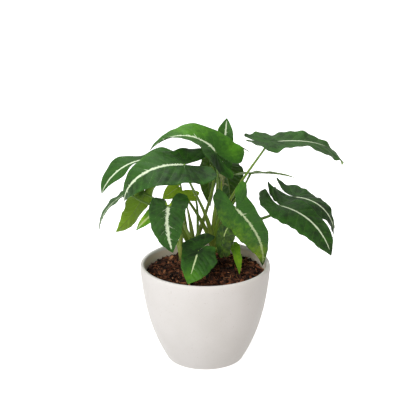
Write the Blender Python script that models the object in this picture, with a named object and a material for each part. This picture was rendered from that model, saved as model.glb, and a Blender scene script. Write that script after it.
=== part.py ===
"""A potted arrowhead plant with velvety silver-ribbed leaves, in a plain off-white ceramic pot.

Metres, +Z up. The origin is the centre of the pot's underside, and -Y is the plant's front.
Sizes in the tables are in millimetres and degrees, as a grower would measure them.
"""

import math
import random

import bmesh
import bpy
import numpy as np

MM = 0.001
MERGE = 0.01 * MM

# Pot: a turned bowl whose wall swells up to a rounded lip.
POT_HEIGHT = 115 * MM
POT_RADIUS = 75 * MM
POT_BASE_RADIUS = 46 * MM
POT_BASE_EDGE = 1.5 * MM
POT_WALL = 5 * MM
POT_FLOOR = 6 * MM
POT_FLOOR_EDGE = 4 * MM
POT_LIP_DROP = 7 * MM
POT_SEGMENTS = 48
POT_WALL_STEPS = 7
POT_LIP_STEPS = 6
POT_LOW_BULGE = (0.70, 0.33)
POT_HIGH_BULGE = (0.90, 0.67)
POT_SHARP = 50

# Soil: fills the pot to a little under the lip, with a lumpy top.
SOIL_TOP = 101 * MM
SOIL_EDGE = 4 * MM
SOIL_MOUND = 4 * MM
SOIL_LUMPS = 90
SOIL_LUMP_WIDTH = (4 * MM, 8 * MM)
SOIL_LUMP_HEIGHT = (-1.6 * MM, 2.6 * MM)
SOIL_RINGS = 11
SOIL_SEED = 7

# Stems and their leaf stalks.
STEM_FOOT = 72 * MM
STEM_RADIUS = 4.2 * MM
STEM_TIP_RADIUS = 2.6 * MM
STEM_SIDES = 10
STEM_STEPS = 5
STALK_SIDES = 6
STALK_STEPS = 9
STALK_FOOT_RADIUS = 2.5 * MM
STALK_TIP_RADIUS = 1.15 * MM
STALK_TAPER = 1.5
FIT_GAP = 0.3 * MM
HOLE_CLEARANCE = 0.5 * MM

# Blades: a grid of rows and columns for each half, finer on the large ones.
BLADE_THICKNESS = 0.8 * MM
LARGE_BLADE = 55
LARGE_GRID = (16, 3)
SMALL_GRID = (10, 2)
MIDRIB_SAMPLES = 120
MIDRIB_RANGE = (-0.6, 1.05)
TWIST_END = 0.7
TWIST_MOST = 1.3
WAVE_END = 1.15

COLOURS = {
    "ceramic": ((0.80, 0.77, 0.74), 0.55),
    "soil": ((0.045, 0.022, 0.013), 0.95),
    "stalk": ((0.16, 0.30, 0.04), 0.45),
    "leaf": ((0.035, 0.13, 0.03), 0.5),
}

# Half outline of a blade: (along, across) in shares of the length and of the half width.
# The stalk joins at along 0 and the tip is at along 1. Behind the stalk each half has a lobe,
# and a narrow sinus parts the two lobes. LOBE_SHARE is the lobe's share of the grid's rows.
LOBE_END = (-0.38, 0.44)
MARGIN = (
    LOBE_END,
    (-0.37, 0.70),
    (-0.27, 0.90),
    (-0.06, 1.0),
    (0.20, 0.97),
    (0.46, 0.83),
    (0.69, 0.56),
    (0.88, 0.23),
    (1.0, 0.0),
)
SINUS = (LOBE_END, (-0.365, 0.20), (-0.27, 0.08), (-0.13, 0.045), (0.0, 0.0))
LOBE_SHARE = 0.28
LOBE_MIDDLE = 0.5
LOBE_MIDDLE_WIDTH = 0.2
FULL_RANGE = (0.3, 1.0)
SLIM_RANGE = (-0.25, 0.2)

# Stems: the foot's place on the soil, the top's height, and how far the top leans.
STEMS = {
    "a": dict(foot=(-28, 30), top=122, lean=(-1, 2)),
    "b": dict(foot=(-15, 9), top=136, lean=(0, 2)),
    "c": dict(foot=(9, 14), top=138, lean=(0, 2)),
    "d": dict(foot=(-7, -12), top=120, lean=(0, -2)),
    "e": dict(foot=(24, 40), top=118, lean=(0, 2)),
}

# Leaves.
# stem and node: the stem that the stalk leaves, and at what height.
# base, tip and face: where the stalk joins the blade, the far end, and where the upper side looks.
# wide: the half width as a share of the length, for the left half and for the right.
# arch and late: how far the midrib bends down by the tip, and how late it begins to.
# hang, sweep and twist: the lobes' bend down, the midrib's bend to a side, and the roll at the base.
# fold and curl: how far both halves lift into a V, and how far they roll down again.
# wave, turns and start: the margin's waves, with a start for the left half and one for the right.
# lobe and sharp: make each lobe longer or shorter, as a whole and along its middle.
# full: widens the outer part of each half.
# slim: narrows each lobe.
# swing: how far each lobe shifts to the left.
# rise, reach, splay and lean: how far the stalk's two ends run straight, and how they slope.
DEFAULTS = dict(
    late=1.3, hang=0, sweep=0, twist=0, lobe=(1.0, 1.0), sharp=(0, 0), full=(0, 0), slim=(0, 0),
    swing=(0, 0), rise=0.42, reach=0.30, splay=0.25, lean=0.5,
)
LEAVES = {
    "01": dict(
        stem="c", node=136, base=(12, -10, 250), tip=(-61, -20, 255), face=(0, 0.05, 1),
        wide=(0.30, 0.29), lobe=(0.9, 1.1), slim=(0.3, -0.08), swing=(0.15, -0.05), arch=100,
        late=1.0, hang=-32, twist=42, fold=18, curl=12, wave=1.5, turns=2.5, start=(0.4, 0.3),
        lean=2.0,
    ),
    "02": dict(
        stem="c", node=130, base=(-22, -46, 246), tip=(-87, -60, 208), face=(-0.2, -0.5, 0.9),
        wide=(0.36, 0.30), lobe=(0.82, 0.95), swing=(0.1, -0.2), arch=110, late=1.6, hang=-15,
        fold=6, curl=14, wave=2.0, turns=2.5, start=(0.0, 0.5),
    ),
    "03": dict(
        stem="c", node=124, base=(-51, 15, 235), tip=(-117, 0, 198), face=(-0.4, -0.3, 0.9),
        wide=(0.14, 0.22), full=(1.4, 1.4), arch=70, hang=-25, sweep=30, fold=8, curl=10, wave=5,
        turns=1.8, start=(0.6, 0.3),
    ),
    "04": dict(
        stem="b", node=128, base=(-84, -24, 207), tip=(-117, -38, 168), face=(-0.6, 0.03, 0.8),
        wide=(0.34, 0.34), lobe=(0.7, 0.7), arch=62, hang=10, fold=8, curl=10, wave=1.2, turns=3.5,
        start=(0.5, 0.9), rise=0.6, reach=0.35,
    ),
    "05": dict(
        stem="b", node=122, base=(-70, 10, 196), tip=(-103, 5, 150), face=(-0.6, 0.7, 0.3),
        wide=(0.34, 0.27), full=(0.1, 1.2), arch=10, hang=15, sweep=55, fold=6, curl=6, wave=2.0,
        turns=2.0, start=(0.8, 0.2),
    ),
    "06": dict(
        stem="d", node=112, base=(-52, -34, 190), tip=(-76, -46, 170), face=(-0.2, -0.6, 0.7),
        wide=(0.30, 0.22), arch=30, fold=10, curl=4, wave=1.0, turns=2.0, start=(0.3, 0.7),
    ),
    "07": dict(
        stem="d", node=116, base=(-40, -50, 199), tip=(-35, -62, 150), face=(0.05, -0.95, 0.35),
        wide=(0.38, 0.39), full=(0.1, 0.1), lobe=(0.95, 0.38), swing=(0.2, -0.2), arch=18, hang=5,
        sweep=28, fold=5, curl=10, wave=1.2, turns=2.0, start=(0.5, 0.9),
    ),
    "08": dict(
        stem="d", node=108, base=(-7.5, -36, 143), tip=(-19, -63, 113.5), face=(0.1, -0.7, 0.7),
        wide=(0.57, 0.42), full=(0.2, 0.1), lobe=(0.6, 1.5), slim=(0.3, -0.25), swing=(0.5, 0.75),
        arch=20, fold=8, curl=12, wave=1.2, turns=2.0, start=(0.0, 0.4),
    ),
    "09": dict(
        stem="c", node=130, base=(34, -30, 190), tip=(66, 2, 109), face=(0.05, -0.95, 0.25),
        wide=(0.16, 0.235), full=(-0.3, -0.3), lobe=(0.42, 0.85), slim=(-0.4, 0), swing=(0.9, 0.42),
        arch=30, hang=5, sweep=-46, fold=8, curl=10, wave=2.0, turns=3.0, start=(0.7, 0.1),
    ),
    "10": dict(
        stem="d", node=108, base=(20, -14, 146), tip=(39, -10, 176), face=(-0.2, -0.9, 0.2),
        wide=(0.26, 0.36), lobe=(1.35, 1.35), slim=(0.25, 0.2), swing=(-0.06, 0.03), arch=15,
        hang=5, sweep=-45, fold=6, curl=10, wave=1.0, turns=2.0, start=(0.4, 0.8),
    ),
    "11": dict(
        stem="c", node=118, base=(33, 0, 134), tip=(39, -18, 107), face=(0.5, -0.8, 0.2),
        wide=(0.22, 0.16), lobe=(0.5, 0.5), arch=20, hang=5, fold=10, curl=8, wave=1.0, turns=2.0,
        start=(0.2, 0.6),
    ),
    "12": dict(
        stem="e", node=116, base=(22, 66, 212), tip=(31, 82, 154), face=(0.3, 0.7, 0.5),
        wide=(0.36, 0.36), arch=40, hang=10, fold=6, curl=8, wave=1.5, turns=2.5, start=(0.6, 0.0),
        splay=0.6,
    ),
    "13": dict(
        stem="b", node=126, base=(5, 46, 219), tip=(6, 58, 163), face=(-0.45, 0.8, 0.4),
        wide=(0.22, 0.22), lobe=(0.8, 0.8), arch=30, hang=10, fold=6, curl=8, wave=1.5, turns=2.5,
        start=(0.1, 0.5), splay=0.9,
    ),
    "14": dict(
        stem="c", node=134, base=(21, 32, 232), tip=(25, 45, 275), face=(-0.1, -0.8, 0.5),
        wide=(0.23, 0.25), full=(0.9, 0.5), arch=15, hang=5, fold=12, curl=6, wave=1.0, turns=2.0,
        start=(0.8, 0.2),
    ),
    "15": dict(
        stem="c", node=132, base=(71, 0, 259), tip=(156, 20, 226), face=(0, -0.2, 1),
        wide=(0.29, 0.255), full=(-0.45, 1.7), lobe=(0.5, 0.75), sharp=(0.4, 0), slim=(0, -0.3),
        swing=(-0.15, 0.12), arch=75, late=2.5, hang=-20, twist=8, fold=6, curl=6, wave=2.9,
        turns=1.5, start=(0.57, 0.72), lean=0.65,
    ),
    "16": dict(
        stem="c", node=126, base=(52, 38, 211), tip=(104, 40, 205), face=(0, 0.36, 0.93),
        wide=(0.30, 0.30), arch=20, hang=5, fold=4, curl=4, wave=0.8, turns=3.0, start=(0.5, 0.9),
    ),
    "17": dict(
        stem="c", node=128, base=(36, 48, 240), tip=(51, 54, 232), face=(0.2, 0.08, 0.95),
        wide=(0.5, 0.5), arch=35, hang=5, fold=6, curl=6, wave=0.6, turns=2.0, start=(0.9, 0.3),
    ),
    "18": dict(
        stem="c", node=126, base=(86, 5, 182), tip=(139, -50, 142), face=(0, -0.2, 1),
        wide=(0.20, 0.29), full=(0.75, 0.75), lobe=(0.75, 0.85), slim=(0, -0.08),
        swing=(0.22, 0.12), arch=80, late=1.6, hang=-95, twist=8, fold=5, curl=10, wave=6,
        turns=0.9, start=(0.08, 0.43),
    ),
    "19": dict(
        stem="c", node=118, base=(106, 42, 180.5), tip=(149, 20, 137.5), face=(0, -0.1, 1),
        wide=(0.29, 0.29), full=(-0.9, -0.4), lobe=(0.85, 0.9), sharp=(0.5, 0.5),
        swing=(0.15, 0.15), arch=110, hang=-45, fold=2, curl=8, wave=5, turns=1.2,
        start=(0.39, 0.1),
    ),
    "20": dict(
        stem="b", node=114, base=(-31, 8, 203), tip=(-49, 8, 189), face=(0.3, -0.8, 0.6),
        wide=(0.42, 0.42), lobe=(0.25, 0.5), slim=(0.4, 0), arch=20, fold=6, curl=6, wave=1.0,
        turns=2.0, start=(0.6, 0.0), reach=0.12,
    ),
    "21": dict(
        stem="d", node=118, base=(-15.5, 0, 196), tip=(-34, -2, 199), face=(-0.2, -0.9, 0.2),
        wide=(0.34, 0.34), lobe=(1.2, 1.2), arch=20, fold=8, curl=10, wave=0.6, turns=2.0,
        start=(0.8, 0.2), lean=1.0,
    ),
    "22": dict(
        stem="a", node=118, base=(-32, 52, 203), tip=(-66, 88, 179), face=(-0.3, 0.3, 0.9),
        wide=(0.34, 0.34), arch=50, fold=8, curl=10, wave=2.0, turns=2.5, start=(0.8, 0.2),
    ),
    "23": dict(
        stem="e", node=112, base=(26, 86, 143), tip=(26, 122, 116), face=(0.1, 0.4, 0.9),
        wide=(0.34, 0.34), arch=50, fold=8, curl=10, wave=2.0, turns=2.5, start=(0.5, 0.9),
        splay=0.8,
    ),
    "24": dict(
        stem="e", node=108, base=(41, 40, 164), tip=(57, 72, 136), face=(0.3, 0.5, 0.8),
        wide=(0.34, 0.34), arch=40, fold=8, curl=10, wave=1.5, turns=2.5, start=(0.2, 0.6),
    ),
    "25": dict(
        stem="a", node=110, base=(-45, 54, 152), tip=(-57, 84, 124), face=(-0.2, 0.6, 0.7),
        wide=(0.36, 0.36), arch=40, fold=8, curl=10, wave=1.5, turns=2.5, start=(0.0, 0.4),
    ),
}


def clear_scene():
    for obj in list(bpy.data.objects):
        bpy.data.objects.remove(obj)


def material(name):
    """A plain material of one of the plant's four finishes."""
    colour, roughness = COLOURS[name]
    made = bpy.data.materials.new(name)
    made.use_nodes = True
    shader = made.node_tree.nodes["Principled BSDF"]
    shader.inputs["Base Color"].default_value = (*colour, 1)
    shader.inputs["Roughness"].default_value = roughness
    shader.inputs["Metallic"].default_value = 0
    return made


def add_object(name, data, finish=None):
    obj = bpy.data.objects.new(name, data)
    bpy.context.scene.collection.objects.link(obj)
    if finish:
        data.materials.append(finish)
    return obj


def evaluated_mesh(obj):
    """The object's mesh as the viewport shows it, with points that meet merged."""
    bpy.context.view_layer.update()
    mesh = bpy.data.meshes.new_from_object(obj.evaluated_get(bpy.context.evaluated_depsgraph_get()))
    merge_points(mesh)
    return mesh


def merge_points(mesh):
    work = bmesh.new()
    work.from_mesh(mesh)
    bmesh.ops.remove_doubles(work, verts=work.verts, dist=MERGE)
    work.to_mesh(mesh)
    work.free()


def unit(v):
    v = np.asarray(v, float)
    return v / np.linalg.norm(v)


def smooth_curve(keys, t):
    """Points at t, from 0 to 1, on the Catmull-Rom curve through the keys."""
    keys = np.asarray(keys, float)
    before = 2 * keys[0] - keys[1]
    after = 2 * keys[-1] - keys[-2]
    padded = np.vstack([before, keys, after])
    steps = np.linalg.norm(np.diff(keys, axis=0), axis=1)
    knots = np.concatenate([[0], np.cumsum(steps)]) / steps.sum()
    span = np.clip(np.searchsorted(knots, t, side="right") - 1, 0, len(keys) - 2)
    s = ((t - knots[span]) / (knots[span + 1] - knots[span]))[:, None]
    p0, p1, p2, p3 = (padded[span + k] for k in range(4))
    square = 2 * p0 - 5 * p1 + 4 * p2 - p3
    cube = 3 * p1 - p0 - 3 * p2 + p3
    return 0.5 * (2 * p1 + (p2 - p0) * s + square * s**2 + cube * s**3)


def ease(value, low, high):
    """A smooth step from 0 at low to 1 at high."""
    share = np.clip((value - low) / (high - low), 0, 1)
    return share * share * (3 - 2 * share)


def bezier(p0, p1, p2, p3, count):
    t = np.linspace(0, 1, count)[:, None]
    near = (1 - t) ** 3 * p0 + 3 * t * (1 - t) ** 2 * p1
    far = 3 * t * t * (1 - t) * p2 + t**3 * p3
    return near + far


# Pot and soil.


def pot_wall():
    """The outer wall's curve, from the foot up to where the lip begins."""
    foot = np.array([POT_BASE_RADIUS, POT_BASE_EDGE])
    shoulder = np.array([POT_RADIUS, POT_HEIGHT - POT_LIP_DROP])
    climb = shoulder - foot
    return bezier(
        foot, foot + climb * POT_LOW_BULGE, foot + climb * POT_HIGH_BULGE, shoulder, POT_WALL_STEPS
    )


def cavity_wall():
    """The inner wall's curve, one wall thickness inside the outer one, from the floor up."""
    outer = pot_wall()
    steps = np.gradient(outer, axis=0)
    inward = np.stack([-steps[:, 1], steps[:, 0]], 1)
    inner = outer + inward / np.linalg.norm(inward, axis=1)[:, None] * POT_WALL
    inner = inner[inner[:, 1] > POT_FLOOR + POT_WALL]
    return np.vstack([[inner[0, 0] - POT_FLOOR_EDGE, POT_FLOOR], inner])


def lathe(name, profile, finish):
    """Turns a closed profile, whose two ends lie on the axis, round the Z axis."""
    work = bmesh.new()
    verts = [work.verts.new((r, 0, z)) for r, z in profile]
    edges = [work.edges.new(pair) for pair in zip(verts, verts[1:])]
    bmesh.ops.spin(
        work,
        geom=verts + edges,
        cent=(0, 0, 0),
        axis=(0, 0, 1),
        angle=2 * math.pi,
        steps=POT_SEGMENTS,
        use_merge=True,
    )
    bmesh.ops.remove_doubles(work, verts=work.verts, dist=MERGE)
    bmesh.ops.recalc_face_normals(work, faces=work.faces)
    mesh = bpy.data.meshes.new(name)
    work.to_mesh(mesh)
    work.free()
    return add_object(name, mesh, finish)


def make_pot(finish):
    turn = np.linspace(0, math.pi, POT_LIP_STEPS + 2)[1:-1]
    middle = np.array([POT_RADIUS - POT_WALL / 2, POT_HEIGHT - POT_LIP_DROP])
    lip = middle + np.stack([np.cos(turn) * POT_WALL / 2, np.sin(turn) * POT_LIP_DROP], 1)
    base = [(0, 0), (POT_BASE_RADIUS - POT_BASE_EDGE, 0)]
    floor = [(0, POT_FLOOR)]
    profile = np.vstack([base, pot_wall(), lip, cavity_wall()[::-1], floor])
    pot = lathe("pot", profile, finish)
    pot.data.shade_smooth()
    pot.data.set_sharp_from_angle(angle=math.radians(POT_SHARP))


def soil_lumps():
    """Seeded lumps of bark and fibre: place, width and height."""
    draw = random.Random(SOIL_SEED)
    lumps = []
    for _ in range(SOIL_LUMPS):
        out = POT_RADIUS * math.sqrt(draw.random())
        turn = draw.uniform(0, 2 * math.pi)
        width = draw.uniform(*SOIL_LUMP_WIDTH)
        height = draw.uniform(*SOIL_LUMP_HEIGHT)
        lumps.append((out * math.cos(turn), out * math.sin(turn), width, height))
    return lumps


def soil_height(x, y, lumps):
    """The top of the soil: a low mound with the lumps on it."""
    height = SOIL_TOP + SOIL_MOUND * (1 - (x * x + y * y) / POT_RADIUS**2)
    for middle_x, middle_y, width, tall in lumps:
        away = ((x - middle_x) ** 2 + (y - middle_y) ** 2) / width**2
        height += tall * math.exp(-away)
    return height


def make_soil(finish):
    """A plug of soil on the cavity's own profile, with a lumpy top and a hole for each stem."""
    wall = cavity_wall() - (FIT_GAP, 0)
    wall[0, 1] += FIT_GAP
    below = wall[wall[:, 1] < SOIL_TOP - SOIL_EDGE]
    edge = np.interp(SOIL_TOP, wall[:, 1], wall[:, 0])
    top = [(edge * share, SOIL_TOP) for share in np.linspace(1, 0, SOIL_RINGS + 1)]
    bottom = [(0, below[0, 1])]
    soil = lathe("soil", np.vstack([bottom, below, top]), finish)
    lumps = soil_lumps()
    for vertex in soil.data.vertices:
        if vertex.co.z > SOIL_TOP - MERGE:
            vertex.co.z = soil_height(vertex.co.x, vertex.co.y, lumps)
    cutters = []
    for name in STEMS:
        route = stem_route(name)
        route[0, 2] -= FIT_GAP
        radii = np.full(len(route), STEM_RADIUS + HOLE_CLEARANCE)
        cutters.append(tube("hole_" + name, route, radii, STEM_SIDES))
    join(soil, cutters, "DIFFERENCE")


# Stems and stalks.


def tube(name, route, radii, sides, finish=None):
    """A closed round tube along the route: a bevelled curve with filled caps, as a mesh."""
    curve = bpy.data.curves.new(name, "CURVE")
    curve.dimensions = "3D"
    curve.bevel_depth = 1
    curve.bevel_resolution = sides // 2 - 2
    curve.use_fill_caps = True
    line = curve.splines.new("POLY")
    line.points.add(len(route) - 1)
    for point, place, radius in zip(line.points, route, radii):
        point.co = (*place, 1)
        point.radius = radius
    source = add_object(name + "_route", curve)
    mesh = evaluated_mesh(source)
    bpy.data.objects.remove(source)
    return add_object(name, mesh, finish)


def join(obj, others, operation):
    """Applies one Boolean on a collection of the others, then removes them."""
    group = bpy.data.collections.new(obj.name + "_others")
    bpy.context.scene.collection.children.link(group)
    for other in others:
        bpy.context.scene.collection.objects.unlink(other)
        group.objects.link(other)
    change = obj.modifiers.new("join", "BOOLEAN")
    change.operation = operation
    change.operand_type = "COLLECTION"
    change.collection = group
    change.solver = "EXACT"
    joined = evaluated_mesh(obj)
    obj.modifiers.clear()
    obj.data = joined
    for other in others:
        bpy.data.objects.remove(other)
    bpy.data.collections.remove(group)


def stem_route(name):
    stem = STEMS[name]
    top = stem["top"] * MM
    heights = np.linspace(STEM_FOOT, top, STEM_STEPS)
    share = np.clip((heights - SOIL_TOP) / (top - SOIL_TOP), 0, 1)[:, None]
    places = (np.array(stem["foot"]) + np.array(stem["lean"]) * share) * MM
    return np.column_stack([places, heights])


def stalk_route(leaf):
    """From the stem's node up to just under the blade, as one smooth curve."""
    stem = stem_route(leaf["stem"])
    start = np.array([np.interp(leaf["node"] * MM, stem[:, 2], stem[:, k]) for k in range(3)])
    base, _, turn = blade_place(leaf)
    _, along, _, up = (line[0] @ turn for line in spine(np.zeros(1), leaf))
    arrive = unit(up + leaf["lean"] * along)
    rim = STALK_TIP_RADIUS * math.sqrt(1 - (arrive @ up) ** 2)
    end = base - up * (BLADE_THICKNESS / 2 + FIT_GAP + rim)
    span = np.linalg.norm(end - start)
    leave = unit(unit((end - start) * (1, 1, 0)) * leaf["splay"] + (0, 0, 1))
    low = start + leave * span * leaf["rise"]
    high = end - arrive * span * leaf["reach"]
    return bezier(start, low, high, end, STALK_STEPS)


def make_stem(name, finish):
    """A short stem with all its leaf stalks, grown together as one."""
    route = stem_route(name)
    radii = np.linspace(STEM_RADIUS, STEM_TIP_RADIUS, len(route))
    stem = tube("stem_" + name, route, radii, STEM_SIDES, finish)
    away = np.linspace(1, 0, STALK_STEPS) ** STALK_TAPER
    thick = STALK_TIP_RADIUS + (STALK_FOOT_RADIUS - STALK_TIP_RADIUS) * away
    stalks = []
    for number, leaf in leaves():
        if leaf["stem"] == name:
            stalks.append(tube("stalk_" + number, stalk_route(leaf), thick, STALK_SIDES))
    join(stem, stalks, "UNION")
    stem.data.shade_smooth()


# Blades.


def leaves():
    return [(number, {**DEFAULTS, **leaf}) for number, leaf in LEAVES.items()]


def turned(v, axis, angle):
    """The vectors v turned about their unit axes by their angles."""
    cos, sin = np.cos(angle)[:, None], np.sin(angle)[:, None]
    return v * cos + np.cross(axis, v) * sin + axis * (axis * v).sum(1)[:, None] * (1 - cos)


def spine(along, leaf):
    """The midrib's point, direction, left side and upper side, in lengths, along +X from the base.

    The direction is added up along the midrib. It bends down by the arch ahead of the base and by
    the hang behind it, and sideways by the sweep.
    """
    t = np.linspace(*MIDRIB_RANGE, MIDRIB_SAMPLES)
    dip = math.radians(leaf["arch"]) * np.clip(t, 0, None) ** leaf["late"]
    dip += math.radians(leaf["hang"]) * np.clip(-t, 0, None) / LOBE_END[0]
    yaw = math.radians(leaf["sweep"]) * t
    ahead = np.stack([np.cos(dip) * np.cos(yaw), np.cos(dip) * np.sin(yaw), -np.sin(dip)], 1)
    level = np.stack([-np.sin(yaw), np.cos(yaw), 0 * t], 1)
    roll = -math.radians(leaf["twist"]) * np.clip(1 - t / TWIST_END, 0, TWIST_MOST)
    left = turned(level, ahead, roll)
    steps = (ahead[1:] + ahead[:-1]) / 2 * np.diff(t)[:, None]
    place = np.vstack([np.zeros(3), np.cumsum(steps, axis=0)])
    place -= [np.interp(0, t, place[:, k]) for k in range(3)]
    place, ahead, left = (
        np.stack([np.interp(along, t, line[:, k]) for k in range(3)], 1)
        for line in (place, ahead, left)
    )
    return place, ahead, left, np.cross(ahead, left)


def frame(along, up):
    """Three axes, as rows: along, its left side, and the part of up square to both."""
    along = unit(along)
    left = unit(np.cross(up, along))
    return np.array([along, left, np.cross(along, left)])


def blade_place(leaf):
    """The base point, the length, and the turn from the spine's own axes to the plant's."""
    base, tip = (np.array(leaf[k], float) * MM for k in ("base", "tip"))
    chord = spine(np.array([1.0]), leaf)[0][0]
    turn = frame(chord, (0, 0, 1)).T @ frame(tip - base, leaf["face"])
    return base, np.linalg.norm(tip - base) / np.linalg.norm(chord), turn


def blade_point(along, across, side, leaf):
    """Places flat blade points in space. The side is 1 for the left half and -1 for the right."""
    base, length, turn = blade_place(leaf)
    place, _, left, up = spine(along, leaf)
    fold, curl = math.radians(leaf["fold"]), math.radians(leaf["curl"])
    bend = fold - curl * across
    wide = leaf["wide"][side < 0]
    out = (math.sin(fold) - np.sin(bend)) / curl * wide
    lift = (np.cos(bend) - math.cos(fold)) / curl * wide
    start = leaf["start"][side < 0]
    ripple = np.sin(2 * math.pi * (leaf["turns"] * along + start))
    fade = np.clip(WAVE_END - along, 0, 1)
    lift += leaf["wave"] * MM / length * across**2 * ripple * fade
    sideways = side * out + leaf["swing"][side < 0] * np.clip(-along, 0, 1)
    local = place + sideways[:, None] * left + lift[:, None] * up
    return base + length * local @ turn


def half_grid(rows, columns, side, leaf):
    """Flat points of half a blade: rows from lobe end to tip, columns from midrib to margin."""
    lobe_rows = round(rows * LOBE_SHARE)
    sinus = smooth_curve(SINUS, np.linspace(0, 1, lobe_rows + 1))
    ahead = np.linspace(0, 1, rows - lobe_rows + 1)[1:]
    inner = np.vstack([sinus, np.column_stack([ahead, 0 * ahead])])
    outer = smooth_curve(MARGIN, np.linspace(0, 1, rows + 1))
    outer[:, 1] *= 1 + leaf["full"][side < 0] * ease(outer[:, 0], *FULL_RANGE)
    across = np.linspace(0, 1, columns + 1)[None, :, None]
    grid = inner[:, None, :] * (1 - across) + outer[:, None, :] * across
    grid[..., 1] *= 1 - leaf["slim"][side < 0] * ease(-grid[..., 0], *SLIM_RANGE)
    middle = np.exp(-(((grid[..., 1] - LOBE_MIDDLE) / LOBE_MIDDLE_WIDTH) ** 2))
    longer = leaf["lobe"][side < 0] * (1 + leaf["sharp"][side < 0] * middle)
    grid[..., 0] *= np.where(grid[..., 0] < 0, longer, 1)
    return grid.reshape(-1, 2)


def make_blade(number, leaf, finish):
    """Both halves of the blade as one sheet of triangles, thickened evenly about its middle."""
    length = np.linalg.norm(np.subtract(leaf["tip"], leaf["base"]))
    rows, columns = LARGE_GRID if length > LARGE_BLADE else SMALL_GRID
    points = []
    faces = []
    for side in (1, -1):
        flat = half_grid(rows, columns, side, leaf)
        first = len(points)
        points += blade_point(flat[:, 0], flat[:, 1], side, leaf).tolist()
        for row in range(rows):
            for column in range(columns):
                a = first + row * (columns + 1) + column
                b = a + columns + 1
                faces += [(a, b, b + 1)[::-side], (a, b + 1, a + 1)[::-side]]
    mesh = bpy.data.meshes.new("leaf_" + number)
    mesh.from_pydata(points, [], faces)
    merge_points(mesh)
    mesh.shade_smooth()
    blade = add_object("leaf_" + number, mesh, finish)
    thicken = blade.modifiers.new("thickness", "SOLIDIFY")
    thicken.thickness = BLADE_THICKNESS
    thicken.offset = 0


def main():
    clear_scene()
    finishes = {name: material(name) for name in COLOURS}
    make_pot(finishes["ceramic"])
    make_soil(finishes["soil"])
    for name in STEMS:
        make_stem(name, finishes["stalk"])
    for number, leaf in leaves():
        make_blade(number, leaf, finishes["leaf"])


main()
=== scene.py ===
import math
import random

import bpy
import numpy as np
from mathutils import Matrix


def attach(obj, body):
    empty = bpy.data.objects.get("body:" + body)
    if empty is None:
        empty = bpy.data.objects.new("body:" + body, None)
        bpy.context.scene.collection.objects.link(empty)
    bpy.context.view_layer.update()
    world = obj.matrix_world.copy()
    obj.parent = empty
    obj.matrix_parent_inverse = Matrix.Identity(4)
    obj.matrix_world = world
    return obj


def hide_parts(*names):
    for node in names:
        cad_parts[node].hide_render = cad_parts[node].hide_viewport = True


# Potted arrowhead plant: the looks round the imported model, in metres, +Z up, front towards -Y.
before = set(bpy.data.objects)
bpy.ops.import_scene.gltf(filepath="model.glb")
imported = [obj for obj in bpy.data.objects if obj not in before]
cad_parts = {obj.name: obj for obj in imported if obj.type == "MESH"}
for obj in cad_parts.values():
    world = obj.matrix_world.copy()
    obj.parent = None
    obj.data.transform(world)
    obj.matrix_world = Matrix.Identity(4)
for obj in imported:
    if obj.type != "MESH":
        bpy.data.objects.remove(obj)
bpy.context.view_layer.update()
mm = 0.001
print("frame loaded:", len(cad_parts), "nodes")


# Shared helpers for shapes.

# A vector of length one.
def unit(vector):
    vector = np.asarray(vector, float)
    return vector / np.linalg.norm(vector)


# Zero below low, one above high, and an eased S between them.
def ease(value, low, high):
    share = np.clip((value - low) / (high - low), 0, 1)
    return share * share * (3 - 2 * share)


# A cubic curve that leaves the first point towards the second and reaches the last from the third.
def bezier(first, second, third, last, share):
    share = np.asarray(share)[:, None]
    near = (1 - share) ** 3 * first + 3 * share * (1 - share) ** 2 * second
    far = 3 * share * share * (1 - share) * third + share**3 * last
    return near + far


# Points on the Catmull-Rom curve through the keys, at shares of the way from 0 to 1.
def smoothCurve(keys, share):
    keys = np.asarray(keys, float)
    padded = np.vstack([2 * keys[0] - keys[1], keys, 2 * keys[-1] - keys[-2]])
    steps = np.linalg.norm(np.diff(keys, axis=0), axis=1)
    knots = np.concatenate([[0], np.cumsum(steps)]) / steps.sum()
    span = np.clip(np.searchsorted(knots, share, side="right") - 1, 0, len(keys) - 2)
    local = ((share - knots[span]) / (knots[span + 1] - knots[span]))[:, None]
    before, start, end, after = (padded[span + step] for step in range(4))
    square = 2 * before - 5 * start + 4 * end - after
    cube = 3 * start - before - 3 * end + after
    return 0.5 * (2 * start + (end - before) * local + square * local**2 + cube * local**3)


# Uneven ground: a sum of sine waves of random direction and phase, about one unit high.
def ripples(x, y, draw, waves, length):
    total = 0 * x
    for wave in range(waves):
        turn, phase = draw.uniform(0, 2 * math.pi, 2)
        rate = 2 * math.pi / (length * draw.uniform(0.6, 1.7))
        total = total + np.sin(rate * (x * math.cos(turn) + y * math.sin(turn)) + phase)
    return total / math.sqrt(waves)


# Quads of a grid of corner numbers: each joins a corner to its neighbours down and across.
def gridQuads(corners, turned=False):
    quads = np.stack([corners[:-1, :-1], corners[1:, :-1], corners[1:, 1:], corners[:-1, 1:]], -1)
    quads = quads.reshape(-1, 4)
    return quads[:, ::-1] if turned else quads


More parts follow.
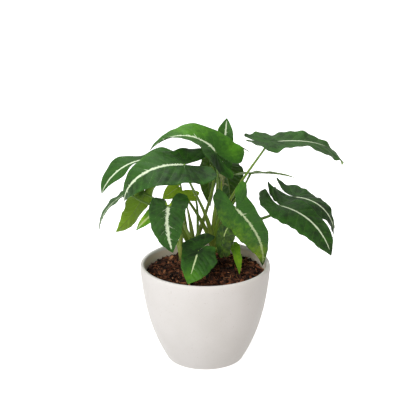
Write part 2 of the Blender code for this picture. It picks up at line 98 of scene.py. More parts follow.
# A mesh object from whole arrays. Quads that have shrunk at a pole or a tip become triangles.
def makePiece(name, points, quads, material, layers=None, triangles=None, flatShaded=False):
    shrunk = (quads == np.roll(quads, 1, axis=1)).any(1)
    halves = np.concatenate([quads[shrunk][:, [0, 1, 2]], quads[shrunk][:, [0, 2, 3]]])
    if triangles is not None:
        halves = np.concatenate([halves, triangles])
    halves = halves[(halves != np.roll(halves, 1, axis=1)).all(1)]
    quads = quads[~shrunk]
    corners = np.concatenate([quads.ravel(), halves.ravel()])
    used, corners = np.unique(corners, return_inverse=True)
    starts = np.concatenate([np.arange(len(quads)) * 4, len(quads) * 4 + np.arange(len(halves)) * 3])
    mesh = bpy.data.meshes.new(name)
    mesh.vertices.add(len(used))
    mesh.vertices.foreach_set("co", np.asarray(points, np.float32)[used].ravel())
    mesh.loops.add(len(corners))
    mesh.loops.foreach_set("vertex_index", corners.astype(np.int32).ravel())
    mesh.polygons.add(len(starts))
    mesh.polygons.foreach_set("loop_start", starts.astype(np.int32))
    mesh.update(calc_edges=True)
    mesh.validate()
    for layer, values in (layers or {}).items():
        values = np.asarray(values, np.float32)[used]
        vector = values.ndim == 2
        made = mesh.attributes.new(layer, "FLOAT_VECTOR" if vector else "FLOAT", "POINT")
        made.data.foreach_set("vector" if vector else "value", values.ravel())
    if flatShaded:
        mesh.shade_flat()
    else:
        mesh.shade_smooth()
    mesh.materials.append(material)
    piece = bpy.data.objects.new(name, mesh)
    bpy.context.scene.collection.objects.link(piece)
    return piece


# A profile of (radius, height) turned round the Z axis: the angle runs along the grid's columns.
def revolve(profile, turns):
    angle = np.arange(turns) * 2 * math.pi / turns
    radius = profile[:, :1]
    height = np.repeat(profile[:, 1:], turns, axis=1)
    points = np.stack([radius * np.cos(angle), radius * np.sin(angle), height], -1)
    corners = np.arange(points.shape[0] * turns).reshape(-1, turns)
    corners[radius[:, 0] == 0] = corners[radius[:, 0] == 0][:, :1]
    return points, np.column_stack([corners, corners[:, :1]])


# A tube along a route: at each step a ring of its own radius stands square to the route, its first
# direction being the guide less its part along the route. Three more rings at each end shrink as the
# cosine of the angle from the side, which rounds the ends.
def roundTube(route, radius, sides, guide, squash=None):
    turn = np.radians([90, 60, 30])
    foot = route[0] - unit(route[1] - route[0]) * (radius[0] * np.sin(turn))[:, None]
    head = route[-1] + unit(route[-1] - route[-2]) * (radius[-1] * np.sin(turn[::-1]))[:, None]
    route = np.vstack([foot, route, head])
    radius = np.concatenate([radius[0] * np.cos(turn), radius, radius[-1] * np.cos(turn[::-1])])
    ahead = np.gradient(route, axis=0)
    ahead /= np.linalg.norm(ahead, axis=1)[:, None]
    first = guide - ahead * (ahead @ guide)[:, None]
    first /= np.linalg.norm(first, axis=1)[:, None]
    second = np.cross(ahead, first)
    angle = np.arange(sides) * 2 * math.pi / sides
    size = radius[:, None] * (1 if squash is None else squash(angle))
    out = first[:, None, :] * np.cos(angle)[None, :, None] + second[:, None, :] * np.sin(angle)[None, :, None]
    return route[:, None, :] + size[..., None] * out


# A tube's quads, its points being numbered from first, and its end rings drawn to a point.
def tubeQuads(rings, first=0):
    numbers = first + np.arange(rings[..., 0].size).reshape(rings.shape[:2])
    numbers[0], numbers[-1] = numbers[0, 0], numbers[-1, 0]
    return gridQuads(np.column_stack([numbers, numbers[:, :1]]), True)


# Helpers for materials: most of them add one node and give back its output.

# An sRGB colour of 0 to 255 as Blender's linear colour: share / 12.92, or ((share + 0.055) / 1.055)^2.4.
def paint(red, green, blue):
    share = np.array([red, green, blue]) / 255
    linear = np.where(share <= 0.04045, share / 12.92, ((share + 0.055) / 1.055) ** 2.4)
    return (*linear.tolist(), 1)


# The colours among a finish's values, by name.
def paints(values):
    return {name: paint(*value) for name, value in values.items() if np.shape(value) == (3,)}


# What a node gives. The signs + - * / between such outputs and plain numbers add math nodes.
class Output:
    def __init__(self, socket):
        self.socket, self.tree = socket, socket.id_data

    def __add__(self, other):
        return calc("ADD", self, other)

    def __sub__(self, other):
        return calc("SUBTRACT", self, other)

    def __mul__(self, other):
        return calc("MULTIPLY", self, other)

    def __truediv__(self, other):
        return calc("DIVIDE", self, other)


# A new material with its principled shader, and the shader's values that are the same all over.
def newFinish(name, **constants):
    material = bpy.data.materials.new(name)
    material.use_nodes = True
    shader = material.node_tree.nodes["Principled BSDF"]
    for socket, value in constants.items():
        shader.inputs[socket.replace("_", " ")].default_value = value
    return material, material.node_tree, shader


# Links an output to a socket, or sets a plain value on it.
def plug(value, socket):
    if isinstance(value, Output):
        value.tree.links.new(value.socket, socket)
    else:
        socket.default_value = value


# A node with its settings, and its inputs by number or name.
def addNode(tree, kind, inputs, **settings):
    node = tree.nodes.new(kind)
    for name, value in settings.items():
        setattr(node, name, value)
    for place, value in inputs.items():
        plug(value, node.inputs[place])
    return node


# A math node: the operation on one or two values, held within 0 to 1 when clamped.
def calc(operation, *values, clamp=False):
    tree = next(value.tree for value in values if isinstance(value, Output))
    inputs = dict(enumerate(values))
    return Output(addNode(tree, "ShaderNodeMath", inputs, operation=operation, use_clamp=clamp).outputs[0])


# The low colour where the share is 0, the high one where it is 1.
def blend(share, low, high):
    node = addNode(share.tree, "ShaderNodeMix", {}, data_type="RGBA")
    for value, socket in ((share, node.inputs[0]), (low, node.inputs[6]), (high, node.inputs[7])):
        plug(value, socket)
    return Output(node.outputs[2])


# A first colour, with others laid over it in turn, each as (share, colour).
def coat(body, *coats):
    for share, colour in coats:
        body = blend(share, body, colour)
    return body


# An eased S that goes from first at low to last at high.
def spread(value, low, high, first=0.0, last=1.0):
    inputs = dict(enumerate((value, low, high, first, last)))
    node = addNode(value.tree, "ShaderNodeMapRange", inputs, interpolation_type="SMOOTHSTEP")
    return Output(node.outputs[0])


# The mesh's own attribute of that name.
def layer(tree, name, output="Fac"):
    return Output(addNode(tree, "ShaderNodeAttribute", {}, attribute_name=name).outputs[output])


# A vector's three parts.
def parts(vector):
    return [Output(socket) for socket in addNode(vector.tree, "ShaderNodeSeparateXYZ", {0: vector}).outputs]


# The place on the object, in metres.
def objectPlace(tree):
    return Output(addNode(tree, "ShaderNodeTexCoord", {}).outputs["Object"])


# Soft noise of 0 to 1, with that many grains to a metre.
def grain(place, scale, detail=2.0, roughness=0.5, distortion=0.0):
    inputs = dict(Vector=place, Scale=scale, Detail=detail, Roughness=roughness, Distortion=distortion)
    return Output(addNode(place.tree, "ShaderNodeTexNoise", inputs).outputs[0])


# The distance to the nearest edge between cells, with that many cells to a metre.
def cells(place, scale):
    inputs = {"Vector": place, "Scale": scale}
    node = addNode(place.tree, "ShaderNodeTexVoronoi", inputs, feature="DISTANCE_TO_EDGE")
    return Output(node.outputs["Distance"])


# The shader's small relief: the height, 0 to 1, times the distance in millimetres.
def bump(shader, height, distance, strength):
    inputs = {"Height": height, "Distance": distance * mm, "Strength": strength}
    plug(Output(addNode(height.tree, "ShaderNodeBump", inputs).outputs[0]), shader.inputs["Normal"])


# The studio: camera, floor and lights.

cameraValues = dict(place=(0.0032, -1.1446, 0.5624), tilt=71.57, lens=91.95, sensor=36)
floorValues = dict(size=14.0, colour=(252, 252, 252), glow=0.78, roughness=0.9)
lightAim = 0.14
lightValues = {
    "keyLight": dict(place=(-0.70, -1.35, 1.0), size=0.9, watts=16.5, colour=(253, 252, 251)),
    "sideLight": dict(place=(-1.4, -0.2, 0.75), size=0.8, watts=3.0, colour=(255, 252, 248)),
    "fillLight": dict(place=(1.3, -1.1, 0.5), size=1.0, watts=1.4, colour=(255, 206, 160)),
    "topLight": dict(place=(-0.3, 0.4, 1.5), size=0.9, watts=9, colour=(252, 253, 255)),
}
worldValues = dict(colour=(252, 250, 247), strength=0.49)


# The photo's camera. Its tilt is in degrees from looking straight down.
def makeCamera(values):
    camera = bpy.data.objects.new("photoCamera", bpy.data.cameras.new("photoCamera"))
    camera.location = values["place"]
    camera.rotation_euler = (math.radians(values["tilt"]), 0, 0)
    camera.data.sensor_width = values["sensor"]
    camera.data.lens = values["lens"]
    bpy.context.scene.collection.objects.link(camera)
    bpy.context.scene.camera = camera


# A wide square floor whose glow keeps it as white as the photo's ground.
def makeFloor(values):
    material, _, shader = newFinish("studioFloor", Roughness=values["roughness"], Specular_IOR_Level=0.2)
    plug(paint(*values["colour"]), shader.inputs["Base Color"])
    plug((1, 1, 1, 1), shader.inputs["Emission Color"])
    plug(values["glow"], shader.inputs["Emission Strength"])
    half = values["size"] / 2
    points = np.array([(-half, -half, 0), (half, -half, 0), (half, half, 0), (-half, half, 0)])
    floor = makePiece("studioFloor", points, np.array([[0, 1, 2, 3]]), material, flatShaded=True)
    floor.visible_diffuse = False


# A square area light that shines at the plant's middle line, at the aim's height.
def makeLight(name, values):
    light = bpy.data.objects.new(name, bpy.data.lights.new(name, "AREA"))
    light.data.size = values["size"]
    light.data.energy = values["watts"]
    light.data.color = paint(*values["colour"])[:3]
    light.location = values["place"]
    back = light.location.copy()
    back.z -= lightAim
    light.rotation_euler = back.to_track_quat("Z", "Y").to_euler()
    bpy.context.scene.collection.objects.link(light)


# Even light from all round.
def makeWorld(values):
    world = bpy.data.worlds.new("studioWorld")
    bpy.context.scene.world = world
    world.use_nodes = True
    background = world.node_tree.nodes["Background"]
    plug(paint(*values["colour"]), background.inputs["Color"])
    plug(values["strength"], background.inputs["Strength"])


makeCamera(cameraValues)
makeFloor(floorValues)
for lightName, values in lightValues.items():
    makeLight(lightName, values)
makeWorld(worldValues)
bpy.context.scene.view_settings.view_transform = "Standard"
print("studio ready")


# The pot: one turned bowl with a rounded lip, and its matt ceramic.

potShape = dict(
    height=115, radius=75, baseRadius=46, baseEdge=1.5, wall=5, floor=6, floorEdge=4, lipDrop=7,
    lowBulge=(0.70, 0.33), highBulge=(0.90, 0.67), wallSteps=44, lipSteps=20, lipSquare=0.62,
    footRing=(36, 40, 1.2), cornerSteps=6, innerTint=(1.5, 4, 3), turns=176,
)
potFinish = dict(
    glaze=(237, 234, 232), cloud=(232, 229, 226), speck=(208, 201, 193), inside=(240, 228, 212),
    roughness=0.55, relief=(0.25, 0.6), cloudScale=22, speckScale=520, fineScale=420, waveScale=60,
)


# The outer wall is a bezier from the foot's edge to the shoulder. The inner wall is the same curve
# moved inwards by the wall's thickness, and the lip is a rounded square arch between the two.
def potProfile(shape):
    foot = np.array([shape["baseRadius"], shape["baseEdge"]])
    shoulder = np.array([shape["radius"], shape["height"] - shape["lipDrop"]])
    climb = shoulder - foot
    share = np.linspace(0, 1, shape["wallSteps"])
    outer = bezier(foot, foot + climb * shape["lowBulge"], foot + climb * shape["highBulge"], shoulder, share)
    steps = np.gradient(outer, axis=0)
    inward = np.stack([-steps[:, 1], steps[:, 0]], 1)
    inner = outer + inward / np.linalg.norm(inward, axis=1)[:, None] * shape["wall"]
    inner = inner[inner[:, 1] > shape["floor"] + shape["wall"]]
    turn = np.linspace(0, math.pi, shape["lipSteps"] + 2)[1:-1]
    across = np.sign(np.cos(turn)) * np.abs(np.cos(turn)) ** shape["lipSquare"]
    arch = np.stack([across * shape["wall"] / 2, np.sin(turn) ** shape["lipSquare"] * shape["lipDrop"]], 1)
    lip = shoulder - (shape["wall"] / 2, 0) + arch
    edge = shape["baseEdge"]
    corner = np.linspace(0, math.pi / 2, shape["cornerSteps"])[:-1]
    rounded = np.stack([foot[0] - edge + edge * np.sin(corner), edge - edge * np.cos(corner)], 1)
    slopeFrom, ring, rise = shape["footRing"]
    base = np.array([(0, rise), (slopeFrom, rise), (ring, 0)])
    curve = np.linspace(0, math.pi / 2, shape["cornerSteps"])[1:]
    low = inner[0]
    bowlOut = low[0] - shape["floorEdge"] * (1 - np.cos(curve))
    bowlHigh = low[1] - (low[1] - shape["floor"]) * np.sin(curve)
    bowl = np.stack([bowlOut, bowlHigh], 1)
    return np.vstack([base, rounded, outer, lip, inner[::-1], bowl, [(0, shape["floor"])]]) * mm

# Soft clouds, then fine specks, then a warmer tint down the inner wall, over the glaze. The inner tint is
# partly soil stain and partly painted shade.
def ceramicFinish(values):
    material, tree, shader = newFinish("mattCeramic", Roughness=values["roughness"], Specular_IOR_Level=0.4)
    place, colour = objectPlace(tree), paints(values)
    clouds = spread(grain(place, values["cloudScale"], 3, 0.55), 0.35, 0.7)
    specks = spread(grain(place, values["speckScale"], 1), 0.66, 0.78) * 0.4
    body = coat(colour["glaze"], (clouds, colour["cloud"]), (specks, colour["speck"]),
                (layer(tree, "inside"), colour["inside"]))
    plug(body, shader.inputs["Base Color"])
    relief = grain(place, values["fineScale"], 2, 0.6) * 0.35 + grain(place, values["waveScale"], 2)
    bump(shader, relief, *values["relief"])
    return material


# The profile turned round the Z axis. The inner wall's tint starts a little below the lip's top and fades in;
# it is partly soil stain and partly painted shade.
def makePot(shape, finish):
    profile = potProfile(shape)
    points, corners = revolve(profile, shape["turns"])
    inside = np.zeros(points.shape[:2])
    top = np.argmax(profile[:, 1])
    tintFrom, tintOver, tintWithin = shape["innerTint"]
    inside[top:] = ease((shape["height"] - tintFrom) * mm - profile[top:, 1], 0, tintOver * mm)[:, None]
    inner = shape["radius"] - shape["wall"] + tintWithin
    inside *= np.hypot(points[..., 0], points[..., 1]) < inner * mm
    pot = makePiece("potBowl", points.reshape(-1, 3), gridQuads(corners, True), ceramicFinish(finish),
                    {"inside": inside.ravel()})
    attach(pot, "root")
    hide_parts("pot")



makePot(potShape, potFinish)
print("pot made")


# The soil: a lumpy bed with bark chips, crumbs and fibres lying on it.

soilShape = dict(
    top=101, mound=4, lumps=90, lumpWidth=(4, 8), lumpHeight=(-1.6, 2.6), seed=7, gap=0.3, edge=4,
    rings=96, turns=200, roughness=1.3, bedTone=0.12,
)
chipLook = dict(
    count=2300, length=(1.8, 8.0), width=(0.16, 0.46), height=(0.1, 0.3), room=3.0, lift=(-2.0, 2.3),
    jitter=0.16, tilts=(0.6, 0.45), tone=(0.44, 0.26), toneRange=(0.02, 1.1), pale=0, paleTone=0,
)
crumbLook = dict(
    count=2000, size=(0.5, 1.6), room=1.6, lift=(-0.5, 0.9), tone=(0.28, 0.18), toneRange=(0.02, 1.0),
    jitter=0, pale=12, paleTone=1.9,
)
fibreLook = dict(
    count=620, steps=7, length=(4, 15), bend=0.25, room=7.5, rise=(0.5, 2.6), tilt=0.25,
    thick=(0.12, 0.30), tone=(0.76, 0.24), toneRange=(0.1, 1.15),
)
soilFinish = dict(
    dark=(12, 6, 4), brown=(66, 38, 26), red=(136, 82, 54), tan=(196, 140, 100), pale=(206, 190, 168),
    steps=dict(brown=(0.1, 0.45), red=(0.45, 0.8), tan=(0.85, 1.0), pale=(1.6, 1.8)),
    fineScale=900, wideScale=60, reliefScale=1500, relief=(0.3, 0.8),
)


# Seeded lumps of the CAD soil: place, width and height, in metres.
def soilLumps(shape):
    draw = random.Random(shape["seed"])
    lumps = []
    for _ in range(shape["lumps"]):
        out = potShape["radius"] * mm * math.sqrt(draw.random())
        turn = draw.uniform(0, 2 * math.pi)
        width = draw.uniform(*(size * mm for size in shape["lumpWidth"]))
        height = draw.uniform(*(size * mm for size in shape["lumpHeight"]))
        lumps.append((out * math.cos(turn), out * math.sin(turn), width, height))
    return lumps


# The soil's top: a low mound, falling off with the square of the radius, plus the bell-shaped lumps.
def soilHeight(x, y, shape, lumps):
    height = shape["top"] * mm + shape["mound"] * mm * (1 - (x * x + y * y) / (potShape["radius"] * mm) ** 2)
    for middleX, middleY, width, tall in lumps:
        height = height + tall * np.exp(-((x - middleX) ** 2 + (y - middleY) ** 2) / width**2)
    return height


# Many small copies of one shape: each is stretched, turned about three axes and moved to its place.
def scatter(shapePoints, stretch, turns, places):
    cosine, sine = np.cos(turns), np.sin(turns)
    points = shapePoints[None] * stretch[:, None, :]
    for axis, (first, second) in enumerate(((1, 2), (0, 2), (0, 1))):
        before, after = points[..., first].copy(), points[..., second].copy()
        points[..., first] = before * cosine[:, None, axis] - after * sine[:, None, axis]
        points[..., second] = before * sine[:, None, axis] + after * cosine[:, None, axis]
    return points + places[:, None, :]
# The tone, with fine and wide noise added, picks the colour from dark peat to tan bark and white specks.
def soilMaterial(name, values, roughness):
    material, tree, shader = newFinish(name, Roughness=roughness, Specular_IOR_Level=0.25)
    place, colour = objectPlace(tree), paints(values)
    fine, wide = grain(place, values["fineScale"], 3, 0.6), grain(place, values["wideScale"], 2)
    tone = layer(tree, "tone") + (fine - 0.5) * 0.5 + (wide - 0.5) * 0.5
    steps = [(spread(tone, *span), colour[step]) for step, span in values["steps"].items()]
    plug(coat(colour["dark"], *steps), shader.inputs["Base Color"])
    bump(shader, grain(place, values["reliefScale"], 3, 0.7), *values["relief"])
    return material


# Random spots within the pot, as far as the room from its wall, and the soil's height there. The
# radius goes with the root of chance, so they lie evenly.
def soilSpots(look, ground):
    draw, count = ground["draw"], look["count"]
    out = (ground["edge"] - look["room"] * mm) * np.sqrt(draw.random(count))
    turn = draw.random(count) * 2 * math.pi
    x, y = out * np.cos(turn), out * np.sin(turn)
    return x, y, soilHeight(x, y, soilShape, ground["lumps"])


# A tone for each small piece, repeated for each of its points.
def soilTones(look, ground, each):
    tones = ground["draw"].normal(*look["tone"], look["count"])
    return np.repeat(np.clip(tones, *look["toneRange"]), each)


# The bed: the lumpy top in rings, and a side that follows the pot's inner wall down, a gap inside it.
def makeBed(shape, ground, material):
    draw, wall, many = ground["draw"], ground["wall"], shape["rings"]
    side = wall[wall[:, 1] < (shape["top"] - shape["edge"]) * mm] - (shape["gap"] * mm, 0)
    side[side[:, 0] < 0, 0] = 0
    side[:, 1] = np.maximum(side[:, 1], (potShape["floor"] + shape["gap"]) * mm)
    rings = np.column_stack([ground["edge"] * np.linspace(0, 1, many), np.full(many, shape["top"] * mm)])
    points, corners = revolve(np.vstack([rings, side]), shape["turns"])
    x, y = points[:many, :, 0], points[:many, :, 1]
    rough = ripples(x, y, draw, 9, 9 * mm) + 0.7 * ripples(x, y, draw, 12, 4 * mm)
    points[:many, :, 2] = soilHeight(x, y, shape, ground["lumps"]) + shape["roughness"] * mm * (rough - 1)
    tones = {"tone": np.full(corners[:, 1:].size, shape["bedTone"])}
    bed = makePiece("soilBed", points.reshape(-1, 3), gridQuads(corners, True), material, tones)
    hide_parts("soil")
    return bed


# Many small copies of one solid at random spots and lifts. Each is stretched, turned about three axes
# and given a tone, and the first ones may be pale.
def makeBits(name, look, ground, solid, faces, stretch, turnAll, material):
    draw, each = ground["draw"], len(solid)
    x, y, z = soilSpots(look, ground)
    places = np.column_stack([x, y, z + draw.uniform(*look["lift"], look["count"]) * mm])
    points = scatter(np.array(solid, float), stretch, turnAll(), places)
    if look["jitter"]:
        points += draw.normal(0, look["jitter"], points.shape) * stretch[:, None, 1:2]
    tones = soilTones(look, ground, each)
    tones[:look["pale"] * each] = look["paleTone"]
    faces = (np.arange(look["count"])[:, None, None] * each + np.array(faces)).reshape(-1, len(faces[0]))
    quads, triangles = (faces, None) if faces.shape[1] == 4 else (np.zeros((0, 4), int), faces)
    points = points.reshape(-1, 3)
    return makePiece(name, points, quads, material, {"tone": tones}, triangles, flatShaded=True)


# Bark chips: boxes with each corner moved a little at random, twice as long as wide or more.
def makeChips(look, ground, material):
    draw, count = ground["draw"], look["count"]
    box = [(x / 2, y / 2, z / 2) for x in (-1, 1) for y in (-1, 1) for z in (-1, 1)]
    faces = [(0, 1, 3, 2), (4, 6, 7, 5), (0, 4, 5, 1), (2, 3, 7, 6), (0, 2, 6, 4), (1, 5, 7, 3)]
    length = draw.uniform(*look["length"], count) * mm
    stretch = [length, *(length * draw.uniform(*look[size], count) for size in ("width", "height"))]

    def turnAll():
        rolls = [draw.normal(0, spread, count) for spread in look["tilts"]]
        return np.column_stack([*rolls, draw.uniform(0, 6.3, count)])

    return makeBits("barkChips", look, ground, box, faces, np.column_stack(stretch), turnAll, material)


# Crumbs: eight-sided double pyramids, squashed and turned, with a few white specks among them.
def makeCrumbs(look, ground, material):
    draw, count = ground["draw"], look["count"]
    crystal = [(1, 0, 0), (0, 1, 0), (-1, 0, 0), (0, -1, 0), (0, 0, 1), (0, 0, -1)]
    faces = [face for a, b in ((0, 1), (1, 2), (2, 3), (3, 0)) for face in ((a, b, 4), (b, a, 5))]
    stretch = draw.uniform(*look["size"], (count, 1)) * draw.uniform(0.6, 1.2, (count, 3)) * mm
    return makeBits("soilCrumbs", look, ground, crystal, faces, stretch,
                    lambda: draw.uniform(0, 6.3, (count, 3)), material)


# Fibres: three-sided threads along a shallow random arc, bent with the square of the share from the
# middle, and thin at both ends.
def makeFibres(look, ground, material):
    draw, count, steps = ground["draw"], look["count"], look["steps"]
    share = np.linspace(-0.5, 0.5, steps)
    length = draw.uniform(*look["length"], (count, 1)) * mm
    turn = draw.uniform(0, 6.3, (count, 1))
    bend = draw.normal(0, look["bend"], (count, 1)) * length
    along, sideways = length * share, bend * (share**2 * 4 - 1)
    x, y, z = (value[:, None] for value in soilSpots(look, ground))
    routeX = x + along * np.cos(turn) - sideways * np.sin(turn)
    routeY = y + along * np.sin(turn) + sideways * np.cos(turn)
    arc, tilt = draw.uniform(*look["rise"], (count, 1)) * mm, draw.normal(0, look["tilt"], (count, 1))
    route = np.stack([routeX, routeY, z + arc * (1 - 3 * share**2) + tilt * along], -1)
    thick = draw.uniform(*look["thick"], (count, 1)) * mm * (1.05 - (2 * share) ** 4)
    angle = np.arange(3) * 2 * math.pi / 3
    across = np.stack([-np.sin(turn), np.cos(turn), 0 * turn], -1)[:, None]
    ring = across * np.cos(angle)[:, None] + np.array([0, 0, 1.0]) * np.sin(angle)[:, None]
    points = route[:, :, None, :] + ring * thick[..., None, None]
    numbers = np.arange(count * steps * 3).reshape(count, steps, 3)
    closed = np.concatenate([numbers, numbers[..., :1]], -1)
    faces = np.stack([closed[:, :-1, :-1], closed[:, :-1, 1:], closed[:, 1:, 1:], closed[:, 1:, :-1]], -1)
    ends = np.concatenate([numbers[:, 0, ::-1], numbers[:, -1]])
    tones = {"tone": soilTones(look, ground, steps * 3)}
    return makePiece("soilFibres", points.reshape(-1, 3), faces.reshape(-1, 4), material, tones, ends)


# The bed first, then what lies on it, all from one seeded draw.
def makeSoil(shape, values):
    profile = potProfile(potShape)
    wall = profile[np.argmax(profile[:, 1]):]
    edge = np.interp(shape["top"] * mm, wall[::-1, 1], wall[::-1, 0]) - shape["gap"] * mm
    ground = dict(draw=np.random.default_rng(shape["seed"]), lumps=soilLumps(shape), wall=wall, edge=edge)
    pieces = [makeBed(shape, ground, soilMaterial("soilPeat", values, 0.95))]
    bark = soilMaterial("soilBark", values, 0.8)
    for make, look in ((makeChips, chipLook), (makeCrumbs, crumbLook), (makeFibres, fibreLook)):
        pieces.append(make(look, ground, bark))
    for piece in pieces:
        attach(piece, "root")


makeSoil(soilShape, soilFinish)
print("soil made")


# The plant's own measures, in millimetres and degrees, as the CAD blades and stalks have them.

bladeShape = dict(
    lobeEnd=-0.38, lobeShare=0.28, samples=160, reach=(-0.6, 1.05), twistEnd=0.7, twistMost=1.3,
    waveEnd=1.15, thickness=0.8, gap=0.3, large=55, largeGrid=(112, 30), smallGrid=(64, 18),
    sheet=0.46, margin=0.22, crowding=1.35,
)
marginKeys = (
    (-0.38, 0.44), (-0.37, 0.70), (-0.27, 0.90), (-0.06, 1.0), (0.20, 0.97), (0.46, 0.83), (0.69, 0.56),
    (0.88, 0.23), (1.0, 0.0),
)
sinusKeys = ((-0.38, 0.44), (-0.365, 0.20), (-0.27, 0.08), (-0.13, 0.045), (0.0, 0.0))
stemTable = {
    "a": dict(foot=(-28, 30), top=122, lean=(-1, 2)),
    "b": dict(foot=(-15, 9), top=136, lean=(0, 2)),
    "c": dict(foot=(9, 14), top=138, lean=(0, 2)),
    "d": dict(foot=(-7, -12), top=120, lean=(0, -2)),
    "e": dict(foot=(24, 40), top=118, lean=(0, 2)),
}
stemShape = dict(foot=72, soil=101, radius=4.2, tipRadius=2.6, stalkFoot=2.5, stalkTip=1.15, taper=1.5)
# Each leaf: its stem, the height of its node on it, its base and tip, and which way its face looks.
# In (left, right) pairs, as shares or in lengths: wide is the half's width, full how much its outer part
# is widened, lobe how long its lobe is, sharp how pointed, slim how much narrower, swing how far it swings
# aside, and start where its wave starts. arch, hang, sweep, twist, fold and curl are in degrees, late is
# how late the arch sets in, wave is the margin's wave in millimetres, turns its waves to a length, and
# rise, reach, splay and lean shape the stalk. Of the looks, stripe is the cream
# stripe's width in millimetres, old and torn its state, green and lime how bright and how lime the blade
# is, sink how far it sinks in millimetres, and ragged and frill how uneven its margin is. Each patch is
# (kind, along, sideways to the left, reach, amount) in lengths.
# Some of the looks paint light and shade: the low green of leaves 10, 12 and 13 is painted shade, the lime of
# leaves 05, 20 and 21 and of leaf 09's lime patches is partly painted light shining through them, one patch
# on leaf 01 is painted sheen and two on leaf 05 are painted shadow.
leafUsual = dict(
    full=(0, 0), lobe=(1.0, 1.0), sharp=(0, 0), slim=(0, 0), swing=(0, 0), arch=20, late=1.3, hang=0, sweep=0,
    twist=0, fold=8, curl=10, wave=1.5, turns=2.0, rise=0.42, reach=0.3, splay=0.25, lean=0.5, stripe=2.4,
    stripeFrom=0.0, stripeTo=0.93, old=0.0, torn=0.6, green=0.35, lime=0.0, sink=0.0, ragged=0.018,
    frill=0.008, patches=(),
)
